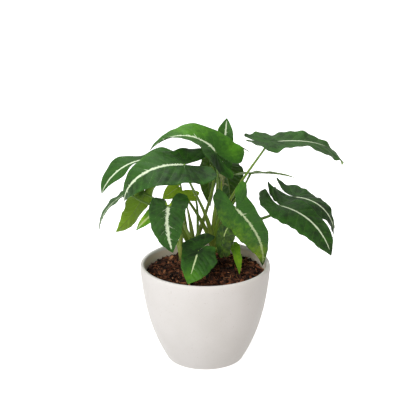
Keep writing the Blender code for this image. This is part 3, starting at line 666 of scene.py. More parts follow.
leaves = {
    "01": dict(
        stem="c", node=136, base=(12, -10, 250), tip=(-61, -20, 255), face=(0, 0.05, 1), wide=(0.3, 0.29),
        lobe=(0.9, 1.1), slim=(0.3, -0.08), swing=(0.15, -0.05), arch=100, late=1.0, hang=-32, twist=42,
        fold=18, curl=12, turns=2.5, start=(0.4, 0.3), lean=2.0, stripe=3.5, stripeTo=0.95, torn=0.9,
        green=0.38, sink=0.74, ragged=0.026, frill=0.018, patches=(
            ("green", -0.2, -0.2, 0.22, 0.34), ("lime", -0.4, -0.3, 0.08, 0.6),
            # The last patch is painted sheen: a lighter area on the far half where light grazes it.
            ("green", -0.1, 0.2, 0.2, -0.45), ("green", 0.45, -0.14, 0.28, 0.42),
        ),
    ),
    "02": dict(
        stem="c", node=130, base=(-22, -46, 246), tip=(-87, -60, 208), face=(-0.2, -0.5, 0.9),
        wide=(0.36, 0.3), lobe=(0.82, 0.95), swing=(0.1, -0.2), arch=110, late=1.6, hang=-15, fold=6, curl=14,
        wave=2.0, turns=2.5, start=(0.0, 0.5), stripe=4.0, stripeTo=0.97, torn=0.8, green=0.18, sink=0.6,
        ragged=0.022, frill=0.01, patches=(("green", 0.4, -0.25, 0.3, 0.3),),
    ),
    "03": dict(
        stem="c", node=124, base=(-51, 15, 235), tip=(-117, 0, 198), face=(-0.4, -0.3, 0.9),
        wide=(0.14, 0.22), full=(1.4, 1.4), arch=70, hang=-25, sweep=30, wave=5, turns=1.8, start=(0.6, 0.3),
        stripe=3.3, stripeTo=0.98, green=0.36,
    ),
    "04": dict(
        stem="b", node=128, base=(-84, -24, 207), tip=(-117, -38, 168), face=(-0.6, 0.03, 0.8),
        wide=(0.34, 0.34), lobe=(0.7, 0.7), arch=62, hang=10, wave=1.2, turns=3.5, start=(0.5, 0.9), rise=0.6,
        reach=0.35, stripe=2.6, old=0.2, green=0.28, lime=0.1,
    ),
    # Leaf 05's lime and green are partly its own lime and partly painted light shining through it from
    # behind.
    "05": dict(
        stem="b", node=122, base=(-70, 10, 196), tip=(-103, 5, 150), face=(-0.6, 0.7, 0.3), wide=(0.34, 0.27),
        full=(0.1, 1.2), arch=10, hang=15, sweep=55, fold=6, curl=6, wave=2.0, start=(0.8, 0.2), stripe=0.8,
        green=0.62, lime=0.7, ragged=0.026, frill=0.02, patches=(
            # The second and third patches are painted shadow: darker and less lime at the base, where the
            # blade lies in shade.
            ("lime", 0.8, 0.1, 0.3, 0.3), ("green", 0.0, 0.05, 0.16, -0.8), ("lime", 0.0, 0.05, 0.16, -0.7),
        ),
    ),
    "06": dict(
        stem="d", node=112, base=(-52, -34, 190), tip=(-76, -46, 170), face=(-0.2, -0.6, 0.7),
        wide=(0.3, 0.22), arch=30, fold=10, curl=4, wave=1.0, start=(0.3, 0.7), stripe=3.0, old=0.3,
        green=0.9, lime=0.3, patches=(("lime", 0.6, -0.1, 0.2, 0.4),),
    ),
    "07": dict(
        stem="d", node=116, base=(-40, -50, 199), tip=(-35, -62, 150), face=(0.05, -0.95, 0.35),
        wide=(0.38, 0.39), full=(0.1, 0.1), lobe=(0.95, 0.38), swing=(0.2, -0.2), arch=18, hang=5, sweep=28,
        fold=5, wave=1.2, start=(0.5, 0.9), stripe=4.4, stripeTo=0.9, torn=1.0, green=0.26, ragged=0.03,
        frill=0.02, patches=(("lime", -0.06, 0.0, 0.06, 1.1),),
    ),
    "08": dict(
        stem="d", node=108, base=(-7.5, -36, 143), tip=(-19, -63, 113.5), face=(0.1, -0.7, 0.7),
        wide=(0.57, 0.42), full=(0.2, 0.1), lobe=(0.6, 1.5), slim=(0.3, -0.25), swing=(0.5, 0.75), curl=12,
        wave=1.2, start=(0.0, 0.4), stripe=2.2, stripeFrom=0.14, stripeTo=0.72, old=0.55, green=0.16,
        ragged=0.028, frill=0.02, patches=(
            ("green", 0.85, 0.0, 0.4, 0.6), ("green", -0.3, 0.3, 0.15, 0.3), ("green", 0.0, 0.03, 0.07, -0.6),
        ),
    ),
    "09": dict(
        stem="c", node=130, base=(34, -30, 190), tip=(66, 2, 109), face=(0.05, -0.95, 0.25),
        wide=(0.16, 0.235), full=(-0.3, -0.3), lobe=(0.42, 0.85), slim=(-0.4, 0), swing=(0.9, 0.42), arch=30,
        hang=5, sweep=-46, wave=2.0, turns=3.0, start=(0.7, 0.1), stripe=2.9, old=0.25, torn=1.0, green=0.18,
        ragged=0.04, frill=0.03, patches=(
            # Its lime patches are partly the leaf's own lime and partly painted light shining through it.
            ("lime", 0.28, -0.2, 0.24, 0.42), ("lime", 0.76, -0.1, 0.24, 0.66),
            ("lime", -0.1, -0.22, 0.2, 0.34), ("green", 0.3, -0.18, 0.4, 0.4),
            ("green", -0.15, 0.1, 0.15, 0.4),
        ),
    ),
    # Leaf 10's low green is painted shade: it darkens the blade where it lies under the leaves above.
    "10": dict(
        stem="d", node=108, base=(20, -14, 146), tip=(39, -10, 176), face=(-0.2, -0.9, 0.2),
        wide=(0.26, 0.36), lobe=(1.35, 1.35), slim=(0.25, 0.2), swing=(-0.06, 0.03), arch=15, hang=5,
        sweep=-45, fold=6, wave=1.0, start=(0.4, 0.8), stripe=1.8, stripeFrom=0.16, stripeTo=0.6, old=1.0,
        green=0.08, lime=0.36, frill=0.02,
    ),
    "11": dict(
        stem="c", node=118, base=(33, 0, 134), tip=(39, -18, 107), face=(0.5, -0.8, 0.2), wide=(0.22, 0.16),
        lobe=(0.5, 0.5), hang=5, fold=10, curl=8, wave=1.0, start=(0.2, 0.6), stripe=0.0, green=0.85,
        lime=0.5,
    ),
    # Leaf 12's low green is painted shade: it darkens the blade where it hangs in shadow behind the middle.
    "12": dict(
        stem="e", node=116, base=(22, 66, 212), tip=(31, 82, 154), face=(0.3, 0.7, 0.5), wide=(0.36, 0.36),
        arch=40, hang=10, fold=6, curl=8, turns=2.5, start=(0.6, 0.0), splay=0.6, green=-0.15,
    ),
    # Leaf 13's low green is painted shade, as with leaf 12: the blade hangs in shadow behind the middle.
    "13": dict(
        stem="b", node=126, base=(5, 46, 219), tip=(6, 58, 163), face=(-0.45, 0.8, 0.4), wide=(0.22, 0.22),
        lobe=(0.8, 0.8), arch=30, hang=10, fold=6, curl=8, turns=2.5, start=(0.1, 0.5), splay=0.9,
        green=-0.25, lime=0.1,
    ),
    "14": dict(
        stem="c", node=134, base=(21, 32, 232), tip=(25, 45, 275), face=(-0.1, -0.8, 0.5), wide=(0.23, 0.25),
        full=(0.9, 0.5), arch=15, hang=5, fold=12, curl=6, wave=1.0, start=(0.8, 0.2), stripe=2.6, old=0.2,
        torn=0.4, green=0.46,
    ),
    "15": dict(
        stem="c", node=132, base=(71, 0, 259), tip=(156, 20, 226), face=(0, -0.2, 1), wide=(0.29, 0.255),
        full=(-0.45, 1.7), lobe=(0.5, 0.75), sharp=(0.4, 0), slim=(0, -0.3), swing=(-0.15, 0.12), arch=75,
        late=2.5, hang=-20, twist=8, fold=6, curl=6, wave=2.9, turns=1.5, start=(0.57, 0.72), lean=0.65,
        stripe=2.6, stripeFrom=0.12, stripeTo=0.66, torn=0.4, green=0.28, ragged=0.034, frill=0.06, patches=(
            ("lime", 1.0, 0.0, 0.12, 0.9), ("green", 1.0, 0.0, 0.15, 0.3),
        ),
    ),
    "16": dict(
        stem="c", node=126, base=(52, 38, 211), tip=(104, 40, 205), face=(0, 0.36, 0.93), wide=(0.3, 0.3),
        hang=5, fold=4, curl=4, wave=0.8, turns=3.0, start=(0.5, 0.9), green=0.2, lime=0.35,
        patches=(("lime", 0.85, 0.0, 0.3, 0.5),),
    ),
    "17": dict(
        stem="c", node=128, base=(36, 48, 240), tip=(51, 54, 232), face=(0.2, 0.08, 0.95), wide=(0.5, 0.5),
        arch=35, hang=5, fold=6, curl=6, wave=0.6, start=(0.9, 0.3), green=0.0, lime=0.25,
    ),
    "18": dict(
        stem="c", node=126, base=(86, 5, 182), tip=(139, -50, 142), face=(0, -0.2, 1), wide=(0.2, 0.29),
        full=(0.75, 0.75), lobe=(0.75, 0.85), slim=(0, -0.08), swing=(0.22, 0.12), arch=80, late=1.6,
        hang=-95, twist=8, fold=5, wave=6, turns=0.9, start=(0.08, 0.43), stripe=2.9, stripeTo=0.92,
        torn=0.35, green=0.25, ragged=0.04, frill=0.03,
    ),
    "19": dict(
        stem="c", node=118, base=(106, 42, 180.5), tip=(149, 20, 137.5), face=(0, -0.1, 1), wide=(0.29, 0.29),
        full=(-0.9, -0.4), lobe=(0.85, 0.9), sharp=(0.5, 0.5), swing=(0.15, 0.15), arch=110, hang=-45, fold=2,
        curl=8, wave=5, turns=1.2, start=(0.39, 0.1), stripe=2.5, stripeTo=0.9, torn=0.3, green=0.14,
        ragged=0.04, frill=0.05,
    ),
    # Leaf 20's high lime and green are partly its own lime and partly painted light shining through it from
    # behind.
    "20": dict(
        stem="b", node=114, base=(-31, 8, 203), tip=(-49, 8, 189), face=(0.3, -0.8, 0.6), wide=(0.42, 0.42),
        lobe=(0.25, 0.5), slim=(0.4, 0), fold=6, curl=6, wave=1.0, start=(0.6, 0.0), reach=0.12, stripe=0.6,
        green=0.8, lime=0.95,
    ),
    # Leaf 21's high lime and green are partly its own lime and partly painted light shining through it from
    # behind.
    "21": dict(
        stem="d", node=118, base=(-15.5, 0, 196), tip=(-34, -2, 199), face=(-0.2, -0.9, 0.2),
        wide=(0.34, 0.34), lobe=(1.2, 1.2), wave=0.6, start=(0.8, 0.2), lean=1.0, stripe=0.0, green=1.0,
        lime=1.0,
    ),
    "22": dict(
        stem="a", node=118, base=(-32, 52, 203), tip=(-66, 88, 179), face=(-0.3, 0.3, 0.9), wide=(0.34, 0.34),
        arch=50, wave=2.0, turns=2.5, start=(0.8, 0.2),
    ),
    "23": dict(
        stem="e", node=112, base=(26, 86, 143), tip=(26, 122, 116), face=(0.1, 0.4, 0.9), wide=(0.34, 0.34),
        arch=50, wave=2.0, turns=2.5, start=(0.5, 0.9), splay=0.8,
    ),
    "24": dict(
        stem="e", node=108, base=(41, 40, 164), tip=(57, 72, 136), face=(0.3, 0.5, 0.8), wide=(0.34, 0.34),
        arch=40, turns=2.5, start=(0.2, 0.6),
    ),
    "25": dict(
        stem="a", node=110, base=(-45, 54, 152), tip=(-57, 84, 124), face=(-0.2, 0.6, 0.7), wide=(0.36, 0.36),
        arch=40, turns=2.5, start=(0.0, 0.4),
    ),
}
leaves = {number: {**leafUsual, **leaf} for number, leaf in leaves.items()}


# A vector array turned about unit axes: v cos a + (axis x v) sin a + axis (axis . v)(1 - cos a).
def turnedAbout(vectors, axes, angle):
    cosine, sine = np.cos(angle)[:, None], np.sin(angle)[:, None]
    along = axes * (axes * vectors).sum(1)[:, None]
    return vectors * cosine + np.cross(axes, vectors) * sine + along * (1 - cosine)


# The midrib's point, direction, left side and upper side, in lengths. Its direction is added up
# along it: it dips by the arch times share^late ahead of the base, and yaws by the sweep.
def spine(along, leaf):
    share = np.linspace(*bladeShape["reach"], bladeShape["samples"])
    dip = math.radians(leaf["arch"]) * np.clip(share, 0, None) ** leaf["late"]
    dip += math.radians(leaf["hang"]) * np.clip(-share, 0, None) / bladeShape["lobeEnd"]
    yaw = math.radians(leaf["sweep"]) * share
    ahead = np.stack([np.cos(dip) * np.cos(yaw), np.cos(dip) * np.sin(yaw), -np.sin(dip)], 1)
    level = np.stack([-np.sin(yaw), np.cos(yaw), 0 * share], 1)
    rolled = np.clip(1 - share / bladeShape["twistEnd"], 0, bladeShape["twistMost"])
    left = turnedAbout(level, ahead, -math.radians(leaf["twist"]) * rolled)
    steps = (ahead[1:] + ahead[:-1]) / 2 * np.diff(share)[:, None]
    place = np.vstack([np.zeros(3), np.cumsum(steps, axis=0)])
    place = place - [np.interp(0, share, place[:, axis]) for axis in range(3)]
    place, ahead, left = (
        np.stack([np.interp(along, share, line[:, axis]) for axis in range(3)], 1)
        for line in (place, ahead, left)
    )
    return place, ahead, left, np.cross(ahead, left)


# Three axes as rows: along, its left side, and the part of up square to both.
def axesFrom(along, up):
    along = unit(along)
    left = unit(np.cross(up, along))
    return np.array([along, left, np.cross(along, left)])


# The base point, the length, and the turn from the spine's own axes to the plant's.
def bladePlace(leaf):
    base, tip = (np.array(leaf[end], float) * mm for end in ("base", "tip"))
    chord = spine(np.array([1.0]), leaf)[0][0]
    turn = axesFrom(chord, (0, 0, 1)).T @ axesFrom(tip - base, leaf["face"])
    return base, np.linalg.norm(tip - base) / np.linalg.norm(chord), turn


# Flat blade points in space, lifted off the sheet. Each half rolls about the midrib: its slope goes
# from the fold at the midrib to fold - curl at the margin, and a sine wave lifts the margin.
def bladePoint(along, across, side, leaf, raised):
    base, length, turn = bladePlace(leaf)
    place, _, left, up = spine(along, leaf)
    fold, curl, wide = math.radians(leaf["fold"]), math.radians(leaf["curl"]), leaf["wide"][side < 0]
    bend = fold - curl * across
    out = (np.sin(fold) - np.sin(bend)) / curl * wide
    lift = (np.cos(bend) - np.cos(fold)) / curl * wide
    ripple = np.sin(2 * math.pi * (leaf["turns"] * along + leaf["start"][side < 0]))
    fade = np.clip(bladeShape["waveEnd"] - along, 0, 1)
    lift = lift + leaf["wave"] * mm / length * across**2 * ripple * fade + raised / length
    sideways = side * out + leaf["swing"][side < 0] * np.clip(-along, 0, 1)
    local = place + sideways[:, None] * left + lift[:, None] * up
    return base + length * local @ turn


# Points on the stem's centre line, bottom to top: straight below the soil, then leaning.
def stemRoute(name, steps):
    stem = stemTable[name]
    heights = np.linspace(stemShape["foot"], stem["top"], steps)
    share = np.clip((heights - stemShape["soil"]) / (stem["top"] - stemShape["soil"]), 0, 1)[:, None]
    return np.column_stack([np.array(stem["foot"]) + np.array(stem["lean"]) * share, heights]) * mm


# The stalk's centre line: a bezier from the stem's node to the seat under the blade's base.
def stalkRoute(leaf, steps):
    stem = stemRoute(leaf["stem"], 9)
    start = np.array([np.interp(leaf["node"] * mm, stem[:, 2], stem[:, axis]) for axis in range(3)])
    base, _, turn = bladePlace(leaf)
    _, along, _, up = (line[0] @ turn for line in spine(np.zeros(1), leaf))
    arrive = unit(up + leaf["lean"] * along)
    rim = stemShape["stalkTip"] * math.sqrt(1 - (arrive @ up) ** 2)
    end = base - up * (bladeShape["thickness"] / 2 + bladeShape["gap"] + rim) * mm
    span = np.linalg.norm(end - start)
    leave = unit(unit((end - start) * (1, 1, 0)) * leaf["splay"] + (0, 0, 1))
    low, high = start + leave * span * leaf["rise"], end - arrive * span * leaf["reach"]
    return bezier(start, low, high, end, np.linspace(0, 1, steps))


# The stems and leaf stalks: one piece for each stem, with smooth tapering stalks.

stalkShape = dict(
    steps=54, sides=16, coreSides=24, sheath=0.55, sheathTo=0.34, swell=0.35, groove=0.16,
    coreSteps=24, coreTint=0.1, knots=9, knotHigh=0.05,
)
stalkFinish = dict(
    foot=(152, 168, 72), middle=(124, 154, 42), top=(98, 138, 34), blush=(140, 126, 56), earth=(86, 66, 40),
    earthTop=(0.104, 0.118), roughness=0.45, relief=(0.1, 0.5), softScale=160, fleckScale=700, earthScale=300,
    fineScale=900,
)



# Pale at the foot and green above, by the climb with noise and the stalk's own tint, with reddish
# flecks, and soil-stained just above the soil.
def stalkMaterial(values):
    material, tree, shader = newFinish("freshStalk", Roughness=values["roughness"], Sheen_Weight=0.12)
    place, colour = objectPlace(tree), paints(values)
    soft = (grain(place, values["softScale"], 2) - 0.5) * 0.6
    share = layer(tree, "climb") + soft + layer(tree, "tint") * 0.35
    flecks = spread(grain(place, values["fleckScale"], 2, 0.6), 0.60, 0.72) * 0.35
    height = parts(place)[2] + (grain(place, values["earthScale"], 3) - 0.5) * 0.02
    body = coat(
        colour["foot"], (spread(share, 0.0, 0.45), colour["middle"]),
        (spread(share, 0.4, 1.0), colour["top"]), (flecks, colour["blush"]),
        (spread(height, *values["earthTop"], 0.85, 0), colour["earth"]),
    )
    plug(body, shader.inputs["Base Color"])
    bump(shader, grain(place, values["fineScale"], 2), *values["relief"])
    return material


# The stalk's radius along it, in millimetres: the CAD taper, with the tip's radius plus the rest times
# (1 - share)^taper, a sheath low down and a slight swelling under the blade.
def stalkRadius(share):
    taper = (stemShape["stalkFoot"] - stemShape["stalkTip"]) * (1 - share) ** stemShape["taper"]
    sheathTo = stalkShape["sheathTo"]
    sheath = stalkShape["sheath"] * (1 - ease(share, sheathTo - 0.1, sheathTo))
    return stemShape["stalkTip"] + taper + sheath + stalkShape["swell"] * ease(share, 0.9, 1)


# The core and its leaf stalks as round tubes in one mesh. A stalk's groove is a dent in its ring by the
# sixth power of the sine, and the core's knots are a cosine wave along it.
def makeStem(name, material):
    draw = np.random.default_rng(ord(name))
    points, quads, climbs, tints = [], [], [], []

    def addTube(rings, climb, tint):
        quads.append(tubeQuads(rings, sum(map(len, points))))
        points.append(rings.reshape(-1, 3))
        climbs.append(np.repeat(climb, rings.shape[1]))
        tints.append(np.full(rings[..., 0].size, tint))

    def grooved(angle):
        return 1 - stalkShape["groove"] * np.clip(np.sin(angle), 0, 1) ** 6

    steps, knots, knotHigh = stalkShape["coreSteps"], stalkShape["knots"], stalkShape["knotHigh"]
    radius = np.linspace(stemShape["radius"], stemShape["tipRadius"], steps) * mm
    radius *= 1 + knotHigh * np.cos(np.linspace(0, knots * math.pi, steps))
    core = roundTube(stemRoute(name, steps), radius, stalkShape["coreSides"], np.array([1.0, 0.2, 0]))
    addTube(core, np.zeros(len(core)), stalkShape["coreTint"])
    share = np.linspace(0, 1, stalkShape["steps"])
    for leaf in leaves.values():
        if leaf["stem"] == name:
            route = stalkRoute(leaf, stalkShape["steps"])
            guide = unit(np.cross(route[-1] - route[0], (0.3, 0.2, 1.0)))
            rings = roundTube(route, stalkRadius(share) * mm, stalkShape["sides"], guide, grooved)
            addTube(rings, np.concatenate([[0] * 3, share, [1] * 3]), draw.uniform(-0.5, 1.0))
    layers = {"climb": np.concatenate(climbs), "tint": np.concatenate(tints)}
    piece = makePiece("stem" + name.upper(), np.vstack(points), np.vstack(quads), material, layers)
    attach(piece, "root")
    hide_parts("stem_" + name)


stalkGreen = stalkMaterial(stalkFinish)
for stemName in stemTable:
    makeStem(stemName, stalkGreen)
print("stems and stalks made")


# The dry, torn sheath by a stalk in the middle, and a pale shoot: flat strips that taper to their tips.
# Each strip: its route's points and its half widths at the start, the middle and the end in millimetres,
# how torn its edges are, and its look.
scrapStrips = {
    "sheathBody": dict(
        keys=((20, -7, 210), (19, -8, 219), (19, -7, 228), (16, -6, 237)), wide=(1.0, 3.6, 1.4), torn=0.35,
        look="dry",
    ),
    "sheathUpperTip": dict(
        keys=((20, -9, 219), (22.5, -9.5, 222), (24, -10, 225.5)), wide=(1.6, 1.3, 0.5), torn=0.3, look="dry",
    ),
    "sheathLowerTip": dict(
        keys=((20, -9, 213), (22.5, -9.5, 212.5), (25, -10, 211)), wide=(1.0, 1.2, 0.7), torn=0.3, look="dry",
    ),
    "limeStrand": dict(
        keys=((18.2, -6.5, 201), (18.6, -8, 208), (18.4, -9, 216)), wide=(0.9, 0.8, 0.4), torn=0.05,
        look="lime",
    ),
    "paleShoot": dict(
        keys=((-13, 7, 118), (-14, 3, 140), (-17, -1, 164), (-21, -3, 187)), wide=(2.4, 2.8, 0.7), torn=0.05,
        look="pale",
    ),
}
scrapLooks = {
    "dry": dict(body=(168, 176, 122), streak=(110, 116, 72), roughness=0.8),
    "lime": dict(body=(166, 192, 52), streak=(128, 160, 40), roughness=0.5),
    "pale": dict(body=(150, 172, 84), streak=(112, 142, 48), roughness=0.5),
}
scrapShape = dict(steps=60, sides=14, flatness=0.24, tears=((0.6, 31, 1), (0.4, 73, 0)))
scrapGrain = dict(drawnOut=0.12, streakScale=1400, blotchScale=260, relief=(0.15, 0.7))


# Streaks drawn out along the strip and wide blotches, over the body's colour.
def scrapMaterial(look, values):
    name = "scrap" + look.title()
    material, tree, shader = newFinish(name, Roughness=values["roughness"], Specular_IOR_Level=0.25)
    place, colour = objectPlace(tree), paints(values)
    inputs = dict(Vector=place, Scale=(1, 1, scrapGrain["drawnOut"]))
    stretched = Output(addNode(tree, "ShaderNodeMapping", inputs).outputs[0])
    streaks = spread(grain(stretched, scrapGrain["streakScale"], 3, 0.6), 0.38, 0.62)
    blotches = spread(grain(place, scrapGrain["blotchScale"], 2), 0.4, 0.65)
    body = coat(colour["body"], (streaks * 0.6, colour["streak"]), (blotches * 0.35, colour["streak"]))
    plug(body, shader.inputs["Base Color"])
    bump(shader, streaks, *scrapGrain["relief"])
    return material


# A strip is a round tube squashed to an ellipse. A sum of sines tears its edges.
def makeScrap(name, strip, material):
    steps = scrapShape["steps"]
    share = np.linspace(0, 1, steps)
    route = smoothCurve(strip["keys"], share) * mm
    wide = np.interp(share, (0, 0.5, 1), strip["wide"])
    tears = sum(high * np.sin(rate * share + start) for high, rate, start in scrapShape["tears"])
    radius = wide * (1 + strip["torn"] * tears) * mm

    def ellipse(angle):
        return 1 / np.sqrt(np.cos(angle) ** 2 + (np.sin(angle) / scrapShape["flatness"]) ** 2)

    rings = roundTube(route, radius, scrapShape["sides"], np.array([1.0, -0.3, 0.0]), ellipse)
    piece = makePiece(name, rings.reshape(-1, 3), tubeQuads(rings), material)
    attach(piece, "root")


scraps = {look: scrapMaterial(look, values) for look, values in scrapLooks.items()}
for name, strip in scrapStrips.items():
    makeScrap(name, strip, scraps[strip["look"]])
print("scraps made")


# The blades: one closed, veined sheet for each leaf.

veinShape = dict(
    count=7.0, slope=0.55, bow=0.9, lobeTurn=26, groove=0.10, rib=0.3, quilt=0.020, midGroove=0.3, midRib=0.9,
    midWide=1.5, midTaper=(0.75, 0.2), midFrom=(-0.03, 0.02), width=0.055, offset=0.25, sharp=0.11,
    veinFrom=(0.3, 2.0), veinTo=(0.6, 0.98), quiltFrom=(0.02, 0.3), quiltTo=(0.7, 1.0), quiltEnd=(0.8, 1.0),
    frillWaves=((0.6, 26, 1.9, 1), (0.4, 47, 2.3, 0)), frillEnd=(0.85, 1.0),
)
# The underside's lime colour is partly the leaf's own lime and partly painted light shining through the
# blade.
leafFinish = dict(
    deep=(20, 46, 10), mid=(46, 96, 18), bright=(84, 146, 22), lime=(154, 194, 28), vein=(112, 156, 60),
    stripe=(218, 234, 200), oldStripe=(178, 200, 122), under=(66, 98, 26), underLimeAndBacklight=(174, 226, 68),
    underVein=(120, 146, 60), roughness=0.5, sheen=0.04, relief=(0.22, 0.7),
    wideScale=75, patchScale=210, fineScale=1500, netScale=190, cellScale=420, tornScale=760, raggedScale=260,
)


# Half a blade's flat points: straight rows from the midrib or the sinus out to the margin.
# The columns crowd to the midrib as share^crowding, and sums of sines roughen the margin.
def halfGrid(rows, columns, side, leaf, draw):
    lobeRows = round(rows * bladeShape["lobeShare"])
    sinus = smoothCurve(sinusKeys, np.linspace(0, 1, lobeRows + 1))
    ahead = np.linspace(0, 1, rows - lobeRows + 1)[1:]
    inner = np.vstack([sinus, np.column_stack([ahead, 0 * ahead])])
    share = np.linspace(0, 1, rows + 1)
    outer = smoothCurve(marginKeys, share)
    outer[:, 1] *= 1 + leaf["full"][side < 0] * ease(outer[:, 0], 0.3, 1.0)
    waves = zip((1, 0.7, 0.5), (2.3, 5.1, 11.7), draw.random(3))
    rough = sum(high * np.sin(2 * math.pi * (rate * share + start)) for high, rate, start in waves)
    outer[:, 1] *= 1 + leaf["ragged"] * rough * np.sin(math.pi * share) ** 0.5
    across = (np.linspace(0, 1, columns + 1) ** bladeShape["crowding"])[None, :, None]
    grid = inner[:, None, :] * (1 - across) + outer[:, None, :] * across
    grid[..., 1] *= 1 - leaf["slim"][side < 0] * ease(-grid[..., 0], -0.25, 0.2)
    peak = 1 + leaf["sharp"][side < 0] * np.exp(-((grid[..., 1] - 0.5) / 0.2) ** 2)
    grid[..., 0] *= np.where(grid[..., 0] < 0, leaf["lobe"][side < 0] * peak, 1)
    return grid, lobeRows, across[0, :, 0]


# Which lateral vein a flat point lies at, whole numbers being on a vein. Ahead of the base veins
# follow along = q + slope * out + bow * out^2, and in the lobes they fan out from the base.
def veinNumber(along, out):
    slope, bow = veinShape["slope"], veinShape["bow"]
    ahead = veinShape["count"] * (along - slope * out - bow * out * out)
    fan = np.arctan2(out, along) - np.arctan2(1, slope + bow * out)
    return np.where(ahead > 0, ahead, -np.maximum(fan, 0) / math.radians(veinShape["lobeTurn"]))


# The blade's finish. Its flat place runs along and across the blade in metres, its third part being the
# leaf's own mark, so the patterns follow the blade and differ from leaf to leaf.
def leafMaterial(values):
    material, tree, shader = newFinish(
        "velvetLeaf", Roughness=values["roughness"], Sheen_Weight=values["sheen"], Sheen_Roughness=0.4,
        Specular_IOR_Level=0.24,
    )
    flat, colour = layer(tree, "flatPlace", "Vector"), paints(values)
    _, sideways, mark = parts(flat)
    bright, lime, rim = parts(layer(tree, "tones", "Vector"))
    stripeHalf, age, tear = parts(layer(tree, "stripe", "Vector"))
    away, side = calc("ABSOLUTE", sideways), calc("SIGN", sideways)

    # Lateral veins alternate left and right, so the two halves are a quarter vein ahead and behind.
    number = layer(tree, "veinNumber") + side * veinShape["offset"]
    whole = calc("ROUND", number)
    off = calc("ABSOLUTE", number - whole)
    width = veinShape["width"]
    veinLine = spread(off, width * 0.4, width * 1.5, 1, 0)

    # Mottled greens from deep to bright, lime patches, pale veins, and a fine dark net.
    patchy = grain(flat, values["patchScale"], 3, 0.65, 0.4)
    fine = grain(flat, values["fineScale"], 2, 0.6)
    mottle = grain(flat, values["wideScale"], 3, 0.6) * 0.6 + patchy * 0.4
    lift = (mottle - 0.5) * 1.15 + bright + rim * 0.12
    limeShare = lime + (patchy - 0.5) * 0.5
    net = spread(cells(flat, values["netScale"]), 0.0, 0.16, 1, 0) * 0.14
    dusk = spread(fine, 0.35, 0.7) * 0.2 + net
    body = coat(
        colour["deep"], (spread(lift, 0.0, 0.42), colour["mid"]),
        (spread(lift, 0.40, 0.95), colour["bright"]), (spread(limeShare, 0.25, 0.9), colour["lime"]),
        (veinLine * 0.10, colour["vein"]), (dusk, colour["deep"]),
    )

    # The cream stripe: ragged edges from noise, and a spur of random length along each vein.
    ragged = grain(flat, values["tornScale"], 2, 0.7)
    torn = (ragged * 2.6 + grain(flat, values["raggedScale"], 2, 0.6) * 2.0 - 2.3) * tear
    edge = stripeHalf * calc("MAXIMUM", torn + 0.85, 0.25)
    middle = spread(away / (edge + 1e-5), 0.65, 1.15, 1, 0)
    seed = whole * 2.3 + side * 0.7 + mark * 7.1
    dice = addNode(tree, "ShaderNodeTexWhiteNoise", {"W": seed}, noise_dimensions="1D")
    chance = Output(dice.outputs["Value"])
    spurLong = stripeHalf * (calc("POWER", chance, 3) * 4.6 + 0.9) * tear
    spurShare = calc("SUBTRACT", 1, away / (spurLong + 1e-5), clamp=True)
    spur = spread(off / (spurShare * (width * 2.0) + 1e-4), 0.3, 1.3, 1, 0)
    spur = calc("MULTIPLY", spur, ragged * 0.9 + 0.35, clamp=True)
    cream = calc("MAXIMUM", middle, spur) * spread(stripeHalf, 0.00008, 0.0003)
    old = spread(lime + age, 0.1, 0.9)
    body = blend(cream, body, blend(old, colour["stripe"], colour["oldStripe"]))

    # The underside is paler, with light ribs. Its lime is partly the leaf's own lime and partly painted light
    # shining through the blade.
    rib = spread(away, 0.0004, 0.0011, 1, 0) * 0.6
    below = coat(
        colour["under"], (spread(mottle, 0.3, 0.7), colour["mid"]),
        (calc("MULTIPLY", limeShare, 0.95, clamp=True), colour["underLimeAndBacklight"]),
        (calc("MAXIMUM", veinLine * 0.2, rib), colour["underVein"]),
    )
    plug(blend(layer(tree, "underside"), body, below), shader.inputs["Base Color"])
    relief = spread(cells(flat, values["cellScale"]), 0.0, 0.25) * 0.5 + fine
    bump(shader, relief, *values["relief"])
    return material


# The top's and the underside's lift off the blade's middle, in metres. The sheet dips along each vein
# with the squared cosine of the vein number, its ripples grow with the square of the share from the
# midrib, and veins and midrib are bell curves: grooves above, ribs below.
def bladeRelief(leaf, number, half, along, share, halfWide, awayFromRib, shift):
    shape = veinShape
    onVein = np.exp(-((shift - np.round(shift)) / shape["sharp"]) ** 2)
    window = ease(share, *shape["quiltFrom"]) * (1 - ease(share, *shape["quiltTo"]))
    window = window * (1 - ease(along, *shape["quiltEnd"]))
    quilt = -shape["quilt"] * halfWide * np.cos(math.pi * shift) ** 2 * window - leaf["sink"] * mm
    ripple = sum(high * np.sin(rate * along + turn * half + start * int(number))
                 for high, rate, turn, start in shape["frillWaves"])
    quilt = quilt + leaf["frill"] * halfWide * ripple * share**2 * (1 - ease(along, *shape["frillEnd"]))
    narrowing, least = shape["midTaper"]
    midTaper = np.clip(1 - narrowing * along, least, 1)
    midrib = np.exp(-(awayFromRib / (shape["midWide"] * midTaper)) ** 2) * ease(along, *shape["midFrom"])
    sheet = (bladeShape["sheet"] + (bladeShape["margin"] - bladeShape["sheet"]) * share**2) * mm / 2
    veins = onVein * (1 - ease(share, *shape["veinTo"])) * ease(awayFromRib, *shape["veinFrom"]) * mm
    midrib = midrib * midTaper * mm
    top = quilt + sheet - shape["groove"] * veins - shape["midGroove"] * midrib
    return top, quilt - sheet - shape["rib"] * veins - shape["midRib"] * midrib


# Half the cream stripe's width, in metres: full from the base, narrower towards its end, none past it.
def stripeWidth(leaf, along):
    start, end = leaf["stripeFrom"], leaf["stripeTo"]
    fullness = 0.45 + 0.55 * (1 - ease(along, end - 0.35, end))
    ends = (1 - ease(along, end - 0.05, end + 0.03)) * ease(along, start - 0.04, start + 0.04)
    return leaf["stripe"] * mm / 2 * fullness * ends


# How bright and how lime the blade is: the leaf's own tones plus its patches, which are round bells.
def bladeTones(leaf, along, sideways):
    tones = {"green": leaf["green"] + 0 * along, "lime": leaf["lime"] + 0 * along}
    for kind, middle, aside, reach, amount in leaf["patches"]:
        away = (along - middle) ** 2 + (sideways - aside) ** 2
        tones[kind] = tones[kind] + amount * np.exp(-away / reach**2)
    return tones["green"], tones["lime"]


